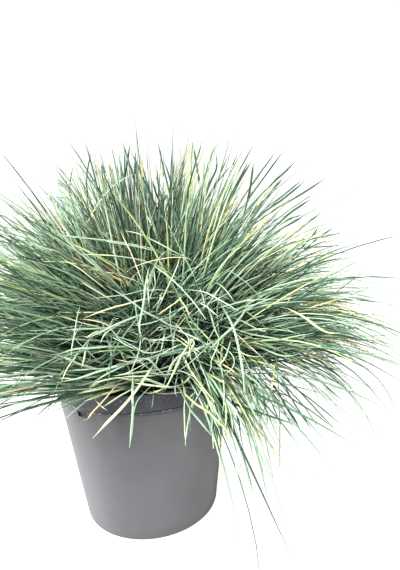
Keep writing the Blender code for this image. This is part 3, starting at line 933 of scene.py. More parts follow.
    "paleDownA": (((214, 403), (212.6, 415), (211.5, 434)), (-108, -146), 2.0, 0.61),
    "limeDownA": (((222, 396), (225.5, 405), (226.3, 416), (225, 432)), (-104, -144), 2.8, 0.655),
    "limeDownB": (((226, 400), (230, 410), (232, 420), (233, 432)), (-106, -142), 1.9, 0.645),
    "greyDownA": (((210, 388), (216, 400), (220, 412), (223, 426)), (-88, -130), 2.6, 0.36),
    "farDownA": (((230, 388), (236, 399), (241, 408), (246, 417), (253, 432)), (-86, -128), 2.6, 0.44),
    "farDownB": (((240, 370.5), (250, 377.3), (257, 383), (265, 392)), (-86, -112), 2.8, 0.55),
    "farDownC": (((243.3, 375), (244.2, 386), (246, 396), (249.5, 404), (254, 413), (259, 424)),
                 (-92, -130), 3.0, 0.57),
    "farDownD": (((247, 376), (253, 391), (257.5, 405), (263, 420)), (-80, -116), 1.6, 0.4),
    "farDownE": (((234, 396), (247, 406.6), (254, 412.6), (264, 420)), (-94, -124), 2.0, 0.52),
    "farDownF": (((225, 377), (231, 388), (236, 397), (241, 406)), (-84, -112), 2.4, 0.34),
    "orangeStemRight": (((221, 363.5), (230, 369), (239.5, 375.6)), (-90, -104), 2.0, 0.92),
    "greyThinDown": (((192, 361), (197, 371.5), (202, 383)), (-88, -100), 1.9, 0.48),
    "flatMintLowRight": (((192, 375), (185, 382.3), (177, 386), (165, 387.3)), (-88, -98), 2.4, 0.58),
    "limeUprightRim": (((182.5, 382), (184.2, 390), (184.8, 398)), (-88, -102), 1.6, 0.71),
    "paleUnderYellow": (((203, 386), (198.3, 396), (193.5, 404), (190.5, 410)), (-98, -118), 2.5, 0.62),
    "arcAcross": (((130, 344.5), (137, 348.5), (144, 352.3), (150, 353), (157, 352), (169, 348)),
                  (-92, -104), 2.1, 0.6),
    "loopRight": (((162.5, 338.8), (168, 337.3), (174, 333.5)), (-100, -104), 1.5, 0.58),
    "tealBroadA": (((186, 348.5), (172, 351.8), (160, 354.6), (148, 358.6)), (-84, -98), 3.0, 0.47),
    "tealBroadB": (((186, 351.5), (173, 353.6), (161, 357)), (-80, -92), 2.8, 0.36),
    "flatMintA": (((172, 374), (161, 374.4), (153, 373.2), (145, 371.3)), (-92, -104), 2.2, 0.62),
    "flatMintB": (((174, 364.5), (165, 367.5), (157, 370)), (-88, -98), 2.0, 0.52),
    "limeArcLow": (((129, 372), (138, 367.5), (147.5, 362)), (-98, -104), 1.3, 0.645),
    "stemBeside": (((171, 379), (176.5, 368.5), (181, 358.5)), (-100, -112), 1.2, 0.645),
    "headSide": (((192.5, 347), (194.3, 343), (191.5, 338.5)), (-114, -117), 2.8, 0.645),
    "headTop": (((186.5, 335.5), (190, 340), (195.5, 338)), (-112, -116), 1.4, 0.63),
    "stemPendant": (((189.3, 347.5), (189.8, 353), (190.6, 359.5)), (-112, -118), 1.3, 0.885),
    "headBranchA": (((192, 346), (196.5, 350), (201.5, 353.3)), (-112, -118), 1.2, 0.88),
    "headBranchB": (((188.5, 347), (194, 351.5), (199.5, 355)), (-110, -116), 1.1, 0.72),
    "whiteFlatTop": (((159, 340), (170, 340.4), (181.5, 341.3)), (-94, -104), 1.7, 0.54),
    "thinFromFlat": (((180.5, 341.5), (184, 344.3), (187.5, 347.3)), (-104, -110), 1.0, 0.645),
    "greyUprightMid": (((163, 340.5), (162, 347), (160, 353)), (-92, -98), 1.8, 0.5),
    "leftPaleMint": (((145.5, 261.4), (123, 256.9), (100, 255.4), (76, 254.3)), (-66, -58), 1.5, 0.5),
    "leftTanFlat": (((148.5, 261.9), (160.6, 259.2), (175.7, 257.3), (190.7, 258.9)),
                    (-68, -72), 1.3, 0.92),
    "whiteSlantBack": (((138, 233.5), (151.5, 239.5), (166.6, 247.4), (178.7, 254.6)),
                       (-50, -70), 1.3, 0.6),
    "leftTanSlant": (((89.7, 276.5), (79, 268.2), (68.6, 262.2), (58, 255.4)), (-64, -60), 1.6, 0.9),
    "leftPinkSlant": (((94, 289.5), (89.7, 287), (79, 280.3)), (-72, -70), 1.6, 0.9),
    "leftMintSlant": (((97, 268), (85, 257.6), (70, 244), (58, 230.5)), (-62, -48), 1.7, 0.5),
    "whiteUprightA": (((147.8, 289), (147.4, 281), (147, 272.7)), (-84, -78), 1.8, 0.58),
    "whiteUprightB": (((153, 290), (155.3, 284.8), (153.8, 268)), (-84, -76), 1.8, 0.55),
    "mintSteepRight": (((166.6, 289.3), (175.7, 269.7), (181, 254)), (-80, -70), 2.0, 0.58),
    "greenLongSlant": (((165.9, 221.4), (175.7, 239.5), (183, 254.6), (193.8, 275.7), (198, 289)),
                       (-30, -80), 1.7, 0.42),
    "yellowThinBack": (((136.4, 266.7), (130.4, 251.6), (120, 230.5)), (-62, -46), 1.3, 0.92),
    "edgeMintOne": (((209.9, 388.6), (216.9, 402.7), (222.5, 425.2)), (-92, -134), 2.1, 0.5),
    "edgeGreenTwo": (((201.4, 402.7), (207, 414), (213, 431)), (-98, -138), 3.0, 0.44),
    "edgePaleThree": (((189.6, 400), (190, 414), (190.4, 432)), (-100, -140), 2.0, 0.6),
    "edgePaleFour": (((198.6, 391.4), (204.2, 402.7), (212.7, 416.8), (220, 432)), (-94, -142), 2.5, 0.6),
    "edgeMintFive": (((219, 394), (222.5, 402.7), (225.4, 416.8), (228, 434)), (-90, -138), 2.1, 0.5),
    "edgeMintSix": (((226, 398), (229.6, 409.7), (232.5, 432)), (-90, -132), 2.1, 0.5),
    "edgeMintSeven": (((219, 391.4), (227.5, 405.5), (238.7, 423.8)), (-88, -136), 3.0, 0.5),
    "fallGreyThin": (((283, 371.5), (292, 376), (301, 380)), (-44, -52), 1.3, 0.2),
    "fallGreyEnd": (((300, 372), (306, 379.5), (313, 388.5), (320.5, 402)), (-30, -44), 1.4, 0.14),
    "fallGreyLong": (((300, 376), (318, 388), (330, 399), (343, 410)), (-26, -44), 1.4, 0.16),
    "fallPaleGreen": (((300, 360), (310, 370), (320, 381), (330, 393), (343, 407)), (-28, -50), 2.3, 0.52),
    "fallDarkOne": (((308, 368), (318, 378), (330, 390), (343, 401)), (-18, -34), 1.7, 0.1),
    "fallDarkTwo": (((318, 380), (332, 385), (342.5, 390)), (-16, -24), 1.6, 0.12),
    "fallTopDark": (((316, 359), (330, 362), (342.5, 365)), (-14, -22), 2.0, 0.08),
    "fallTopGrey": (((328, 368), (342.5, 369)), (-16, -20), 1.6, 0.26),
    "fallMintBroad": (((316, 358), (326, 366), (342.5, 378)), (-24, -34), 3.0, 0.44),
    "fallMintNext": (((312, 366), (328, 373), (342.5, 381.5)), (-22, -32), 2.2, 0.38),
    "fallDarkThree": (((312, 371), (330, 379), (342.5, 385)), (-18, -26), 1.5, 0.1),
    "fallDarkLong": (((283, 376), (295, 388), (310, 399), (326, 412), (343, 426.5)), (-40, -66), 1.9, 0.09),
    "fallDarkNext": (((290, 383), (300, 392), (312, 405), (322, 416), (334, 428)), (-44, -68), 1.7, 0.1),
    "fallGreenMid": (((297, 402), (310, 410), (322, 419), (334, 428)), (-52, -68), 1.6, 0.22),
    "fallDarkSteep": (((292, 399), (298, 409), (304, 418), (311, 429)), (-54, -72), 1.9, 0.09),
    "fallTeal": (((299, 401), (306, 409), (312, 418), (320, 430)), (-50, -70), 2.3, 0.32),
    "fallBroadDark": (((280, 396), (288, 410), (294, 419), (300, 429)), (-60, -80), 3.2, 0.14),
    "fallBroadNext": (((276, 398), (284, 411), (288, 419), (294, 429)), (-62, -82), 2.4, 0.08),
    "fallMintThin": (((278, 400), (290, 408), (300, 415), (305, 422)), (-60, -72), 1.6, 0.42),
    "fallGreySteep": (((266, 392), (272, 404), (278, 418), (283, 430)), (-66, -86), 1.4, 0.22),
    "fallUprightA": (((262, 382), (263.5, 396), (264.5, 407), (263, 421)), (-76, -98), 2.0, 0.42),
    "fallUprightB": (((264, 396), (266, 408), (267, 418), (268, 428)), (-74, -90), 1.3, 0.34),
    "fallYellowEnd": (((245, 400), (255, 412), (262, 420), (269, 429)), (-88, -110), 2.3, 0.645),
    "fallGreyEndB": (((248, 408), (256, 420), (262, 430)), (-86, -100), 1.5, 0.2),
    "fallGreenLeftA": (((241, 402), (246, 414), (251, 430)), (-90, -108), 2.0, 0.24),
    "fallDarkLeftB": (((235, 408), (239, 420), (240.5, 431)), (-92, -108), 1.9, 0.1),
    "fallMintAcross": (((244, 378), (252, 384), (264, 392), (276, 400), (285, 407)), (-74, -92), 3.2, 0.46),
    "fallMintDown": (((246, 378), (248, 392), (250, 405), (253, 418), (257, 430)), (-80, -108), 2.3, 0.42),
    "fallGreyDown": (((252, 378), (255, 392), (258, 405), (262, 416)), (-76, -98), 2.3, 0.3),
    "fallPinkShort": (((248, 382), (252, 394), (254.5, 402)), (-84, -98), 1.5, 0.87),
    "fallInnerDark": (((262, 366), (270, 376), (278, 381), (290, 391), (297, 399)), (-52, -70), 2.0, 0.18),
    "fallInnerGreen": (((270, 359), (277, 369), (284, 381), (290, 392)), (-50, -66), 1.9, 0.3),
    "fallInnerGrey": (((272, 358), (284, 364.5), (290.5, 368.5)), (-48, -56), 2.6, 0.26),
    "fallInnerBlack": (((258, 362), (270, 373), (280, 381)), (-56, -66), 1.5, 0.04),
    "fallLinkGrey": (((272, 390), (284, 394.5), (291, 397.5)), (-66, -72), 1.6, 0.24),
    "fallYellowPale": (((286, 354), (293, 365), (302, 376), (310, 381.5)), (-44, -58), 2.5, 0.65),
    "fallInnerMint": (((262, 358), (270, 366), (280, 376), (289, 387)), (-60, -76), 2.5, 0.4),
    "edgeFillOne": (((220, 396), (226, 412), (231.5, 434)), (-88, -130), 3.2, 0.48),
    "edgeFillTwo": (((213, 394), (219, 410), (223, 434)), (-90, -134), 2.8, 0.42),
    "edgeFillThree": (((225, 402), (229.5, 416), (232, 434)), (-86, -126), 2.4, 0.36),
    "edgeFillFour": (((204, 403), (208.5, 418), (211, 436)), (-94, -136), 2.8, 0.46),
    "edgeFillFive": (((216, 400), (214, 414), (213.5, 434)), (-92, -132), 2.4, 0.54),
}

# leaves whose tips make the outline against the white: lower end to tip
skyline = {
    "depths": (4, 34),
    "further": (-22, 68),
    "pixels": (1.7, 2.4),
    "tone": (0.05, 0.05),
    "paths": (
        ((103, 212), (86, 186), (73, 165.5), (56, 141)), ((100, 192), (80, 159), (68, 141)),
        ((98, 190), (90, 159), (85, 142)), ((101, 185), (97, 165), (92, 145)),
        ((118, 180), (114, 158), (111, 145)), ((134, 178), (127, 156), (122, 141.5)),
        ((125, 176), (128, 157), (130, 144)), ((124, 182), (124.5, 163), (124, 151)),
        ((147, 188), (136, 162), (131, 152)), ((134, 182), (135, 163), (135.5, 153)),
        ((69, 214), (69, 195), (70.5, 178), (73.5, 165)), ((87, 190), (87, 174), (90, 158), (91, 151)),
        ((72, 185), (63, 173), (56, 165)), ((70, 190), (62, 178), (56, 169.5)),
        ((73, 193), (64, 184), (56, 178)), ((74, 197), (64, 187), (56, 181)),
        ((72, 201), (62, 190), (56, 183.5)), ((82, 209), (70, 200), (56, 196.5)),
        ((95, 187), (82, 169), (74, 160)), ((104, 192), (102, 175), (101, 162)),
        ((109, 186), (104, 172), (102, 164)), ((117, 186), (112, 175), (109, 163)),
        ((125, 184), (121, 168), (118, 153)), ((121, 187), (118, 173), (117, 163)),
        ((151, 194), (146, 180), (142, 165)), ((154, 202), (147, 191), (141, 184)),
        ((159, 201), (155, 190), (152.5, 180)), ((159, 197), (158, 180), (155, 164)),
        ((139, 195), (134, 178), (131, 165)), ((77, 213), (66, 204), (56, 197)),
        ((70, 214), (62, 209), (56, 205)), ((68, 188), (62, 183), (56, 178)),
        ((90, 200), (84, 186), (76, 174)), ((168, 187), (163, 167), (160, 153), (157.5, 141)),
        ((172, 188), (168, 173), (164, 161)), ((161, 196), (158, 182), (157, 168)),
        ((180, 194), (182, 175), (184, 160), (187, 147)),
        ((189.5, 188), (190.5, 165), (192, 150), (192, 141)), ((199, 180), (196, 162), (192.5, 143)),
        ((190, 182), (195, 164), (199, 152), (202, 141)), ((169, 193), (181, 179), (189, 167), (194, 160)),
        ((200, 190), (205, 175), (209, 163), (214, 150), (219.5, 141)),
        ((204, 198), (211, 181), (216.5, 168), (216, 152)),
        ((206, 201), (212, 190), (218, 178), (229, 154)), ((220, 198), (228, 178), (232, 167), (238, 152)),
        ((220, 179), (230, 166.5)), ((231, 188), (238, 173), (244, 162), (254, 144)),
        ((232, 196), (240, 180), (251.5, 161)), ((234, 190), (242, 174), (248, 163)),
        ((201.5, 182), (202, 168), (204, 157)), ((250, 189), (252, 175), (253.5, 163)),
        ((234, 203), (242, 196), (249, 188), (258, 175)), ((254, 191), (262, 180), (270, 169), (284, 150)),
        ((252, 184), (262, 170), (268, 162), (276, 151)), ((262, 198), (270, 184), (280, 170)),
        ((266, 198), (275, 187), (285, 177)), ((264, 192), (274, 182), (284, 173), (297, 160)),
        ((260, 214), (272, 203), (283, 195), (305, 177)), ((270, 208), (282, 200), (304, 182)),
        ((270, 213), (286, 203), (300, 195), (311, 188), (326, 178)), ((278, 224), (290, 213), (311, 199)),
        ((278, 226), (290, 219), (303, 214.5)), ((281, 229), (294, 222), (305, 215)),
        ((288, 238), (300, 229), (321, 213)), ((296, 242), (308, 234), (325, 220.5)),
        ((307, 242), (313, 235), (318.5, 227)), ((308, 247), (318, 238), (335, 226.5)),
        ((298, 241), (315, 238), (341, 233)), ((303, 251), (320, 243), (336, 240)),
        ((298, 249), (320, 247), (341, 245.5)), ((306, 260), (322, 253), (335, 248)),
        ((318, 264), (330, 260.5), (343.5, 258)),
    ),
}


looseLayer = {
    "count": 70,
    "columns": (64, 250),
    "rows": (270, 392),
    "centre": (190, 318),  # the place that they spread from
    "scatter": 34.0,
    "reach": (26, 84),
    "bow": 0.09,
    "depths": (-64, -96),
    "pixels": (1.1, 2.1),
    "tone": (0.3, 0.18),
    "seed": 23,
}
# traced leaves of the tangle that start between these depths come nearer by so many millimetres
tracedSetup = {
    "nearer": 14,
    "aboveRow": 395,
    "leftOf": 300,
    "between": (-84, -50),
    "thinner": 0.86,  # width and tone of every traced leaf
    "deeper": 0.07,
}


def softBend(start, startWay, end, endWay, count):
    # a smooth line that leaves and arrives along the given ways
    reach = np.linalg.norm(end - start)
    startWay = startWay / np.linalg.norm(startWay)
    endWay = endWay / np.linalg.norm(endWay)
    first = start + startWay * reach * 0.42
    second = end - endWay * reach * 0.36
    t = np.linspace(0, 1, count)[:, None]
    return (1 - t)**3 * start + 3 * (1 - t)**2 * t * first + 3 * (1 - t) * t * t * second + t**3 * end


def footFor(seen, onward, pick=0):
    # the tuft that a leaf seen there would spring from
    costs = []
    for tuft in tufts.values():
        back = seen - tuft["foot"]
        reach = np.linalg.norm(back)
        turn = math.acos(float(np.clip(back @ onward / (reach + 1e-9), -1, 1)))
        costs.append((turn + 9 * reach, tuple(tuft["foot"])))
    foot = sorted(costs)[pick][1]
    return np.array([foot[0], foot[1], compostHeight(foot[0], foot[1]) - 1.0 * mm])


def tracedLine(path, depths, pick=0):
    # the path at its depths, carried back to its tuft
    path = np.array(path, float)
    run = np.concatenate([[0], np.cumsum(np.hypot(*np.diff(path, axis=0).T))])
    near = np.interp(run / run[-1], [0, 1], np.array(depths) * mm)
    seen = np.array([pictureToWorld(column, row, y) for (column, row), y in zip(path, near)])
    onward = (seen[1] - seen[0]) / np.linalg.norm(seen[1] - seen[0])
    foot = footFor(seen[0], onward, pick)
    out = seen[0] - foot
    rise = np.array([0.45 * out[0], 0.45 * out[1], 0.8 * np.linalg.norm(out)])
    back = softBend(foot, rise, seen[0], onward, 10)
    front = resampled(np.vstack([back[-2], seen]), 17)
    return np.vstack([back[:-2], front])


def tracedLeaf(path, depths, pixels, tone, random, pick=0):
    line = clearOfPot(tracedLine(path, depths, pick))
    shares = np.linspace(0, 1, len(line))
    away = -(line - cameraPlace) @ cameraTurn[:, 2]
    width = pixels * np.mean(away[-7:]) / cameraSetup["focalPixels"]
    seen = smoothStep(0.24, 0.42, shares)  # the part that follows the path
    halfWidths = 0.5 * width * (0.42 + 0.58 * seen) * (1 - 0.82 * smoothStep(0.84, 1.0, shares))
    # painted shade: the part carried back into the clump fades to a dark tone
    return {"points": line, "halfWidths": halfWidths, "roll": random.uniform(0, math.tau),
            "twist": random.normal() * 0.6, "tone": 0.12 + (tone - 0.12) * seen}


def looseLeaf(random, layer):
    # a leaf that crosses the others at the front
    lower = random.random() ** 0.8
    row = layer["rows"][0] + (layer["rows"][1] - layer["rows"][0]) * lower
    tip = np.array([random.uniform(*layer["columns"]), row])
    away = tip - np.array(layer["centre"])
    way = math.atan2(away[1], away[0]) + math.radians(random.normal() * layer["scatter"])
    reach = random.uniform(*layer["reach"]) * (0.6 + 0.4 * lower)
    along = np.array([math.cos(way), math.sin(way)])
    side = np.array([-along[1], along[0]]) * reach * layer["bow"] * random.normal()
    path = (tip - along * reach, tip - along * reach * 0.5 + side, tip)
    near = np.interp(lower, (0, 1), layer["depths"]) + random.normal() * 5
    depths = (near + random.uniform(4, 24), near)
    pixels = np.interp(lower, (0, 1), layer["pixels"]) * random.uniform(0.75, 1.25)
    return path, depths, pixels, leafTone(random, *layer["tone"])


random = np.random.default_rng(looseLayer["seed"])
traced = []
for path, depths, pixels, tone in tracedLeaves.values():
    columns, rows = np.array(path, float).T
    inTangle = rows.max() < tracedSetup["aboveRow"] and columns.max() < tracedSetup["leftOf"]
    if inTangle and tracedSetup["between"][0] < depths[0] < tracedSetup["between"][1]:
        depths = tuple(depth - tracedSetup["nearer"] for depth in depths)
    tone -= tracedSetup["deeper"] * (tone < 0.64)
    traced.append(tracedLeaf(path, depths, pixels * tracedSetup["thinner"], tone, random))
for path in skyline["paths"]:
    pixels = random.uniform(*skyline["pixels"])
    further = random.uniform(*skyline["further"])  # spreads them through the clump's depth
    depths = tuple(depth + further for depth in skyline["depths"])
    traced.append(tracedLeaf(path, depths, pixels, leafTone(random, *skyline["tone"]), random))
outlined = len(traced)
while len(traced) < outlined + looseLayer["count"]:
    leaf = tracedLeaf(*looseLeaf(random, looseLayer), random, random.integers(6))
    if insideBox(leaf["points"]) and not crossesCollar(leaf["points"][2:]):
        traced.append(leaf)
tracedPiece = bladesFromLines("front_leaves", traced, leafMaterial, sides=6)
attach(tracedPiece, "root")
print("fescue: traced leaves", len(traced))


# pot

potFinish = {
    "body": (0.084, 0.084, 0.089),
    # painted shade: the collar is darker than the body, as under the leaves
    "collar": (0.048, 0.050, 0.062),
    "roughness": 0.4,
    "dust": (0.50, 0.45, 0.34),
    "dustLineZ": 107.75 * mm,
    "dustLineHalf": 0.55 * mm,
    "grooveZ": 108.65 * mm,
    "grooveHalf": 0.5 * mm,
    "groovePaintedShade": (0.008, 0.008, 0.010),
    "pocketPaintedShade": (0.012, 0.012, 0.015),
    "specks": (0.66, 0.62, 0.52),
    "speckCells": 520,
    "speckSize": 0.17,
    "speckShare": 0.35,
}
lugs = {"angles": (-124, -4, 116), "wide": 8.0 * mm, "high": 5.2 * mm, "out": 0.5 * mm, "drop": 1.6 * mm,
        "recess": (7.0 * mm, 4.3 * mm, 1.25 * mm)}


def bodyRadius(z):
    low, top = 1.4 * mm, pot["height"] - pot["collarHeight"]
    return pot["baseRadius"] + (pot["bodyTopRadius"] - pot["baseRadius"]) * (z - low) / (top - low)


def potProfile():
    # from the axis under the base, up the outside, over the rim and down the inside
    top = pot["height"]
    ledge = top - pot["collarHeight"]
    rim = pot["rimRadius"]
    collarLow = pot["collarLowRadius"]
    line = [(0, 0), (20 * mm, 0), (38 * mm, 0), (pot["baseRadius"] - 1.4 * mm, 0),
            (pot["baseRadius"] - 0.35 * mm, 0.4 * mm)]
    line += [(bodyRadius(z), z) for z in np.linspace(1.4 * mm, ledge - 1.1 * mm, 12)]
    line += [(collarLow - 0.5 * mm, ledge - 0.5 * mm), (collarLow - 0.3 * mm, ledge - 0.05 * mm),
             (collarLow - 0.8 * mm, ledge + 0.15 * mm), (collarLow - 0.95 * mm, ledge + 0.55 * mm),
             (collarLow - 0.8 * mm, ledge + 0.95 * mm), (collarLow - 0.1 * mm, ledge + 1.05 * mm),
             (collarLow + 0.05 * mm, ledge + 1.3 * mm)]
    line += [(collarLow + (rim - collarLow) * k / 5, ledge + 1.3 * mm + (top - ledge - 2.1 * mm) * k / 5)
             for k in range(1, 6)]
    line += [(rim - 0.12 * mm, top - 0.35 * mm), (rim - 0.5 * mm, top - 0.05 * mm), (rim - 0.9 * mm, top),
             (rim - 1.3 * mm, top - 0.1 * mm), (rim - 1.65 * mm, top - 0.5 * mm)]
    line += [(collarLow - 1.7 * mm, ledge + 0.4 * mm)]
    inside = np.linspace(ledge - 1.2 * mm, pot["floor"] + 2 * mm, 12)
    line += [(bodyRadius(z) - pot["wall"], z) for z in inside]
    line += [(bodyRadius(pot["floor"]) - pot["wall"] - 1.5 * mm, pot["floor"] + 0.3 * mm),
             (bodyRadius(pot["floor"]) - pot["wall"] - 4 * mm, pot["floor"]), (38 * mm, pot["floor"]),
             (20 * mm, pot["floor"]), (0, pot["floor"])]
    return line


def lathedMesh(name, profile, steps):
    shape = bmesh.new()
    rings = []
    for radius, z in profile:
        if radius == 0:
            rings.append([shape.verts.new((0, 0, z))])
            continue
        turns = [math.tau * k / steps for k in range(steps)]
        rings.append([shape.verts.new((radius * math.cos(t), radius * math.sin(t), z)) for t in turns])
    for low, high in zip(rings, rings[1:]):
        for k in range(steps):
            after = (k + 1) % steps
            if len(low) == 1:
                shape.faces.new((low[0], high[after], high[k]))
            elif len(high) == 1:
                shape.faces.new((low[k], low[after], high[0]))
            else:
                shape.faces.new((low[k], low[after], high[after], high[k]))
    bmesh.ops.recalc_face_normals(shape, faces=shape.faces)
    return finishedMesh(name, shape)


def blockMesh(name, size, place, turn, slope=0.0, bevel=0.0):
    # a block whose X points out of the wall
    shape = bmesh.new()
    bmesh.ops.create_cube(shape, size=1)
    bmesh.ops.scale(shape, vec=size, verts=shape.verts)
    if bevel:
        bmesh.ops.bevel(shape, geom=shape.edges[:], offset=bevel, segments=2, affect="EDGES", profile=0.5)
    move = Matrix.Rotation(turn, 4, "Z") @ Matrix.Translation(place) @ Matrix.Rotation(slope, 4, "Y")
    bmesh.ops.transform(shape, matrix=move, verts=shape.verts)
    return finishedMesh(name, shape)


def holePegs():
    shape = bmesh.new()
    for k in range(pot["holes"]):
        turn = math.tau * k / pot["holes"]
        place = (pot["holeCircle"] * math.cos(turn), pot["holeCircle"] * math.sin(turn), pot["floor"] / 2)
        bmesh.ops.create_cone(
            shape, cap_ends=True, segments=32, radius1=pot["holeRadius"], radius2=pot["holeRadius"],
            depth=8 * mm, matrix=Matrix.Translation(place),
        )
    return finishedMesh("holePegs", shape)


def combine(target, mesh, operation):
    tool = linkObject("tool", mesh)
    change = target.modifiers.new("cut", "BOOLEAN")
    change.operation = operation
    change.solver = "EXACT"
    change.object = tool
    done = bakedMesh(target.name, target)
    target.modifiers.clear()
    target.data = done
    bpy.data.objects.remove(tool)


def makePot():
    piece = linkObject("nursery_pot", lathedMesh("nursery_pot", potProfile(), pot["steps"]))
    combine(piece, holePegs(), "DIFFERENCE")
    slope = math.atan2(pot["bodyTopRadius"] - pot["baseRadius"], pot["height"] - pot["collarHeight"])
    for angle in lugs["angles"]:
        z = pot["height"] - pot["collarHeight"] - lugs["drop"] - lugs["high"] / 2
        out = bodyRadius(z)
        thick = lugs["out"] + 0.8 * mm
        place = (out + lugs["out"] - thick / 2, 0, z)
        size = (thick, lugs["wide"], lugs["high"])
        combine(piece, blockMesh("lug", size, place, math.radians(angle), slope, 0.18 * mm), "UNION")
        wide, high, deep = lugs["recess"]
        place = (out + lugs["out"], 0, z)
        pocket = blockMesh("recess", (2 * deep, wide, high), place, math.radians(angle), slope)
        combine(piece, pocket, "DIFFERENCE")
    mesh = piece.data
    mesh.shade_smooth()
    mesh.set_sharp_from_angle(angle=math.radians(32))
    return piece


def makePotFinish(setup):
    finish, shader, bench = newFinish("greyPotPlastic")
    maths, mixed = bench.maths, bench.mixed
    where = bench.add("ShaderNodeTexCoord").outputs["Object"]
    parts = bench.add("ShaderNodeSeparateXYZ", {0: where}).outputs

    def line(z, half):
        # 1 on a ring at that height, 0 past its half width
        off = maths("ABSOLUTE", maths("SUBTRACT", parts["Z"], z))
        return maths("SUBTRACT", 1.0, maths("DIVIDE", off, half), clamp=True)

    ledge = pot["height"] - pot["collarHeight"]
    onCollar = maths("GREATER_THAN", parts["Z"], ledge - 0.1 * mm)
    cloudy = bench.noise(where, 38, 4.0)
    fine = bench.noise(where, 900, 2)
    lift = maths("MULTIPLY_ADD", cloudy, 0.30, 0.85)
    grain = maths("MULTIPLY_ADD", fine, 0.16, 0.92)
    # painted shade: the collar takes the darker colour, for the shade of the leaves over it
    colour = bench.scaled(mixed(onCollar, setup["body"], setup["collar"]), maths("MULTIPLY", lift, grain))
    # dust caught on the wall just under the collar
    broken = maths("MULTIPLY_ADD", bench.noise(where, 340, 3), 8.0, -3.9, clamp=True)
    dust = maths("MULTIPLY", maths("MULTIPLY", line(setup["dustLineZ"], setup["dustLineHalf"]), broken), 0.75)
    colour = mixed(dust, colour, setup["dust"])
    # painted shade in the groove under the collar
    paintedGrooveShade = line(setup["grooveZ"], setup["grooveHalf"])
    colour = mixed(maths("MULTIPLY", paintedGrooveShade, 1.6, clamp=True), colour, setup["groovePaintedShade"])
    # painted shade in the pockets of the lugs
    wall = maths("MULTIPLY_ADD", parts["Z"], (pot["bodyTopRadius"] - pot["baseRadius"]) / ledge,
                 pot["baseRadius"] - 0.25 * mm)
    out = maths("SQRT", maths("ADD", maths("POWER", parts["X"], 2.0), maths("POWER", parts["Y"], 2.0)))
    pocket = maths("MULTIPLY", maths("SUBTRACT", wall, out), 4000.0, clamp=True)
    colour = mixed(maths("MULTIPLY", pocket, 0.8), colour, setup["pocketPaintedShade"])
    # pale grit that clings to the collar, thicker in places
    cells = {"Scale": setup["speckCells"], "Vector": where}
    grit = bench.add("ShaderNodeTexVoronoi", cells, feature="F1").outputs
    dot = maths("LESS_THAN", grit["Distance"], setup["speckSize"])
    patch = maths("MULTIPLY_ADD", bench.noise(where, 34, 2), 6.0, -3.1, clamp=True)
    chance = bench.add("ShaderNodeSeparateColor", {0: grit["Color"]}).outputs[0]
    some = maths("LESS_THAN", chance, setup["speckShare"])
    spots = maths("MULTIPLY", maths("MULTIPLY", dot, patch), maths("MULTIPLY", some, onCollar))
    rough = maths("MULTIPLY_ADD", cloudy, 0.16, setup["roughness"] - 0.06)
    bench.fill(shader, {
        "Base Color": mixed(maths("MULTIPLY", spots, 0.85), colour, setup["specks"]),
        "Roughness": maths("MAXIMUM", rough, maths("MULTIPLY", dust, 1.1)),
        "Normal": bench.bump(fine, 0.25, 0.06 * mm),
    })
    return finish


potPiece = makePot()
potPiece.data.materials.append(makePotFinish(potFinish))
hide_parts("pot")
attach(potPiece, "root")
print("fescue: pot made", len(potPiece.data.polygons))


# compost

compostSetup = {
    "tones": (
        (0.25, (0.010, 0.007, 0.005)),
        (0.50, (0.035, 0.024, 0.016)),
        (0.66, (0.085, 0.058, 0.036)),
        (0.80, (0.220, 0.160, 0.100)),
    ),
    "crumbDensity": 42000.0,
    "crumbSize": (0.5 * mm, 1.9 * mm),
    "seed": 5,
}


def makeCompostFinish(setup):
    finish, shader, bench = newFinish("darkCompost")
    where = bench.add("ShaderNodeTexCoord").outputs["Object"]
    lumps = bench.noise(where, 330, 6)
    bench.fill(shader, {
        "Base Color": bench.ramp(lumps, setup["tones"]),
        "Roughness": 0.95,
        "Normal": bench.bump(lumps, 0.8, 0.6 * mm),
    })
    return finish


def lumpiness(x, y):
    # small mounds and hollows of the fill
    return 0.6 * mm * (np.sin(x * 310 + 1.7) * np.cos(y * 270 + 0.4) + 0.6 * np.sin(x * 730 + y * 510)
                       + 0.4 * np.cos(y * 1190 - x * 640))


def makeCompost():
    radius = compost["radius"]
    steps, rows = 96, 26
    turns = np.arange(steps) * math.tau / steps
    places = [(0.0, 0.0, compostHeight(0, 0) + lumpiness(0, 0))]
    for k in range(1, rows + 1):
        out = radius * k / rows
        for t in turns:
            x, y = out * math.cos(t), out * math.sin(t)
            settle = 1 - smoothStep(0.93, 1.0, k / rows)
            places.append((x, y, compostHeight(x, y) + lumpiness(x, y) * settle))
    faces = [(0, 1 + k, 1 + (k + 1) % steps) for k in range(steps)]
    for ring in range(rows - 1):
        a, b = 1 + ring * steps, 1 + (ring + 1) * steps
        faces += [(a + k, b + k, b + (k + 1) % steps, a + (k + 1) % steps) for k in range(steps)]
    top = len(faces)
    below = len(places)
    lowZ = pot["floor"] + 0.4 * mm
    lowRadius = bodyRadius(lowZ) - pot["wall"] - 1.2 * mm
    ledge = pot["height"] - pot["collarHeight"] - 1.5 * mm
    for out, z in ((bodyRadius(ledge) - pot["wall"] - 0.5 * mm, ledge), (lowRadius, lowZ)):
        places += [(out * math.cos(t), out * math.sin(t), z) for t in turns]
    last = 1 + (rows - 1) * steps
    for a, b in ((last, below), (below, below + steps)):
        faces += [(a + k, b + k, b + (k + 1) % steps, a + (k + 1) % steps) for k in range(steps)]
    faces.append(tuple(below + steps + k for k in reversed(range(steps))))
    mesh = bpy.data.meshes.new("compost_fill")
    mesh.from_pydata(places, [], faces)
    onTop = mesh.attributes.new("onTop", "BOOLEAN", "FACE")
    onTop.data.foreach_set("value", [k < top for k in range(len(faces))])
    mesh.shade_smooth()
    return linkObject("compost_fill", mesh)


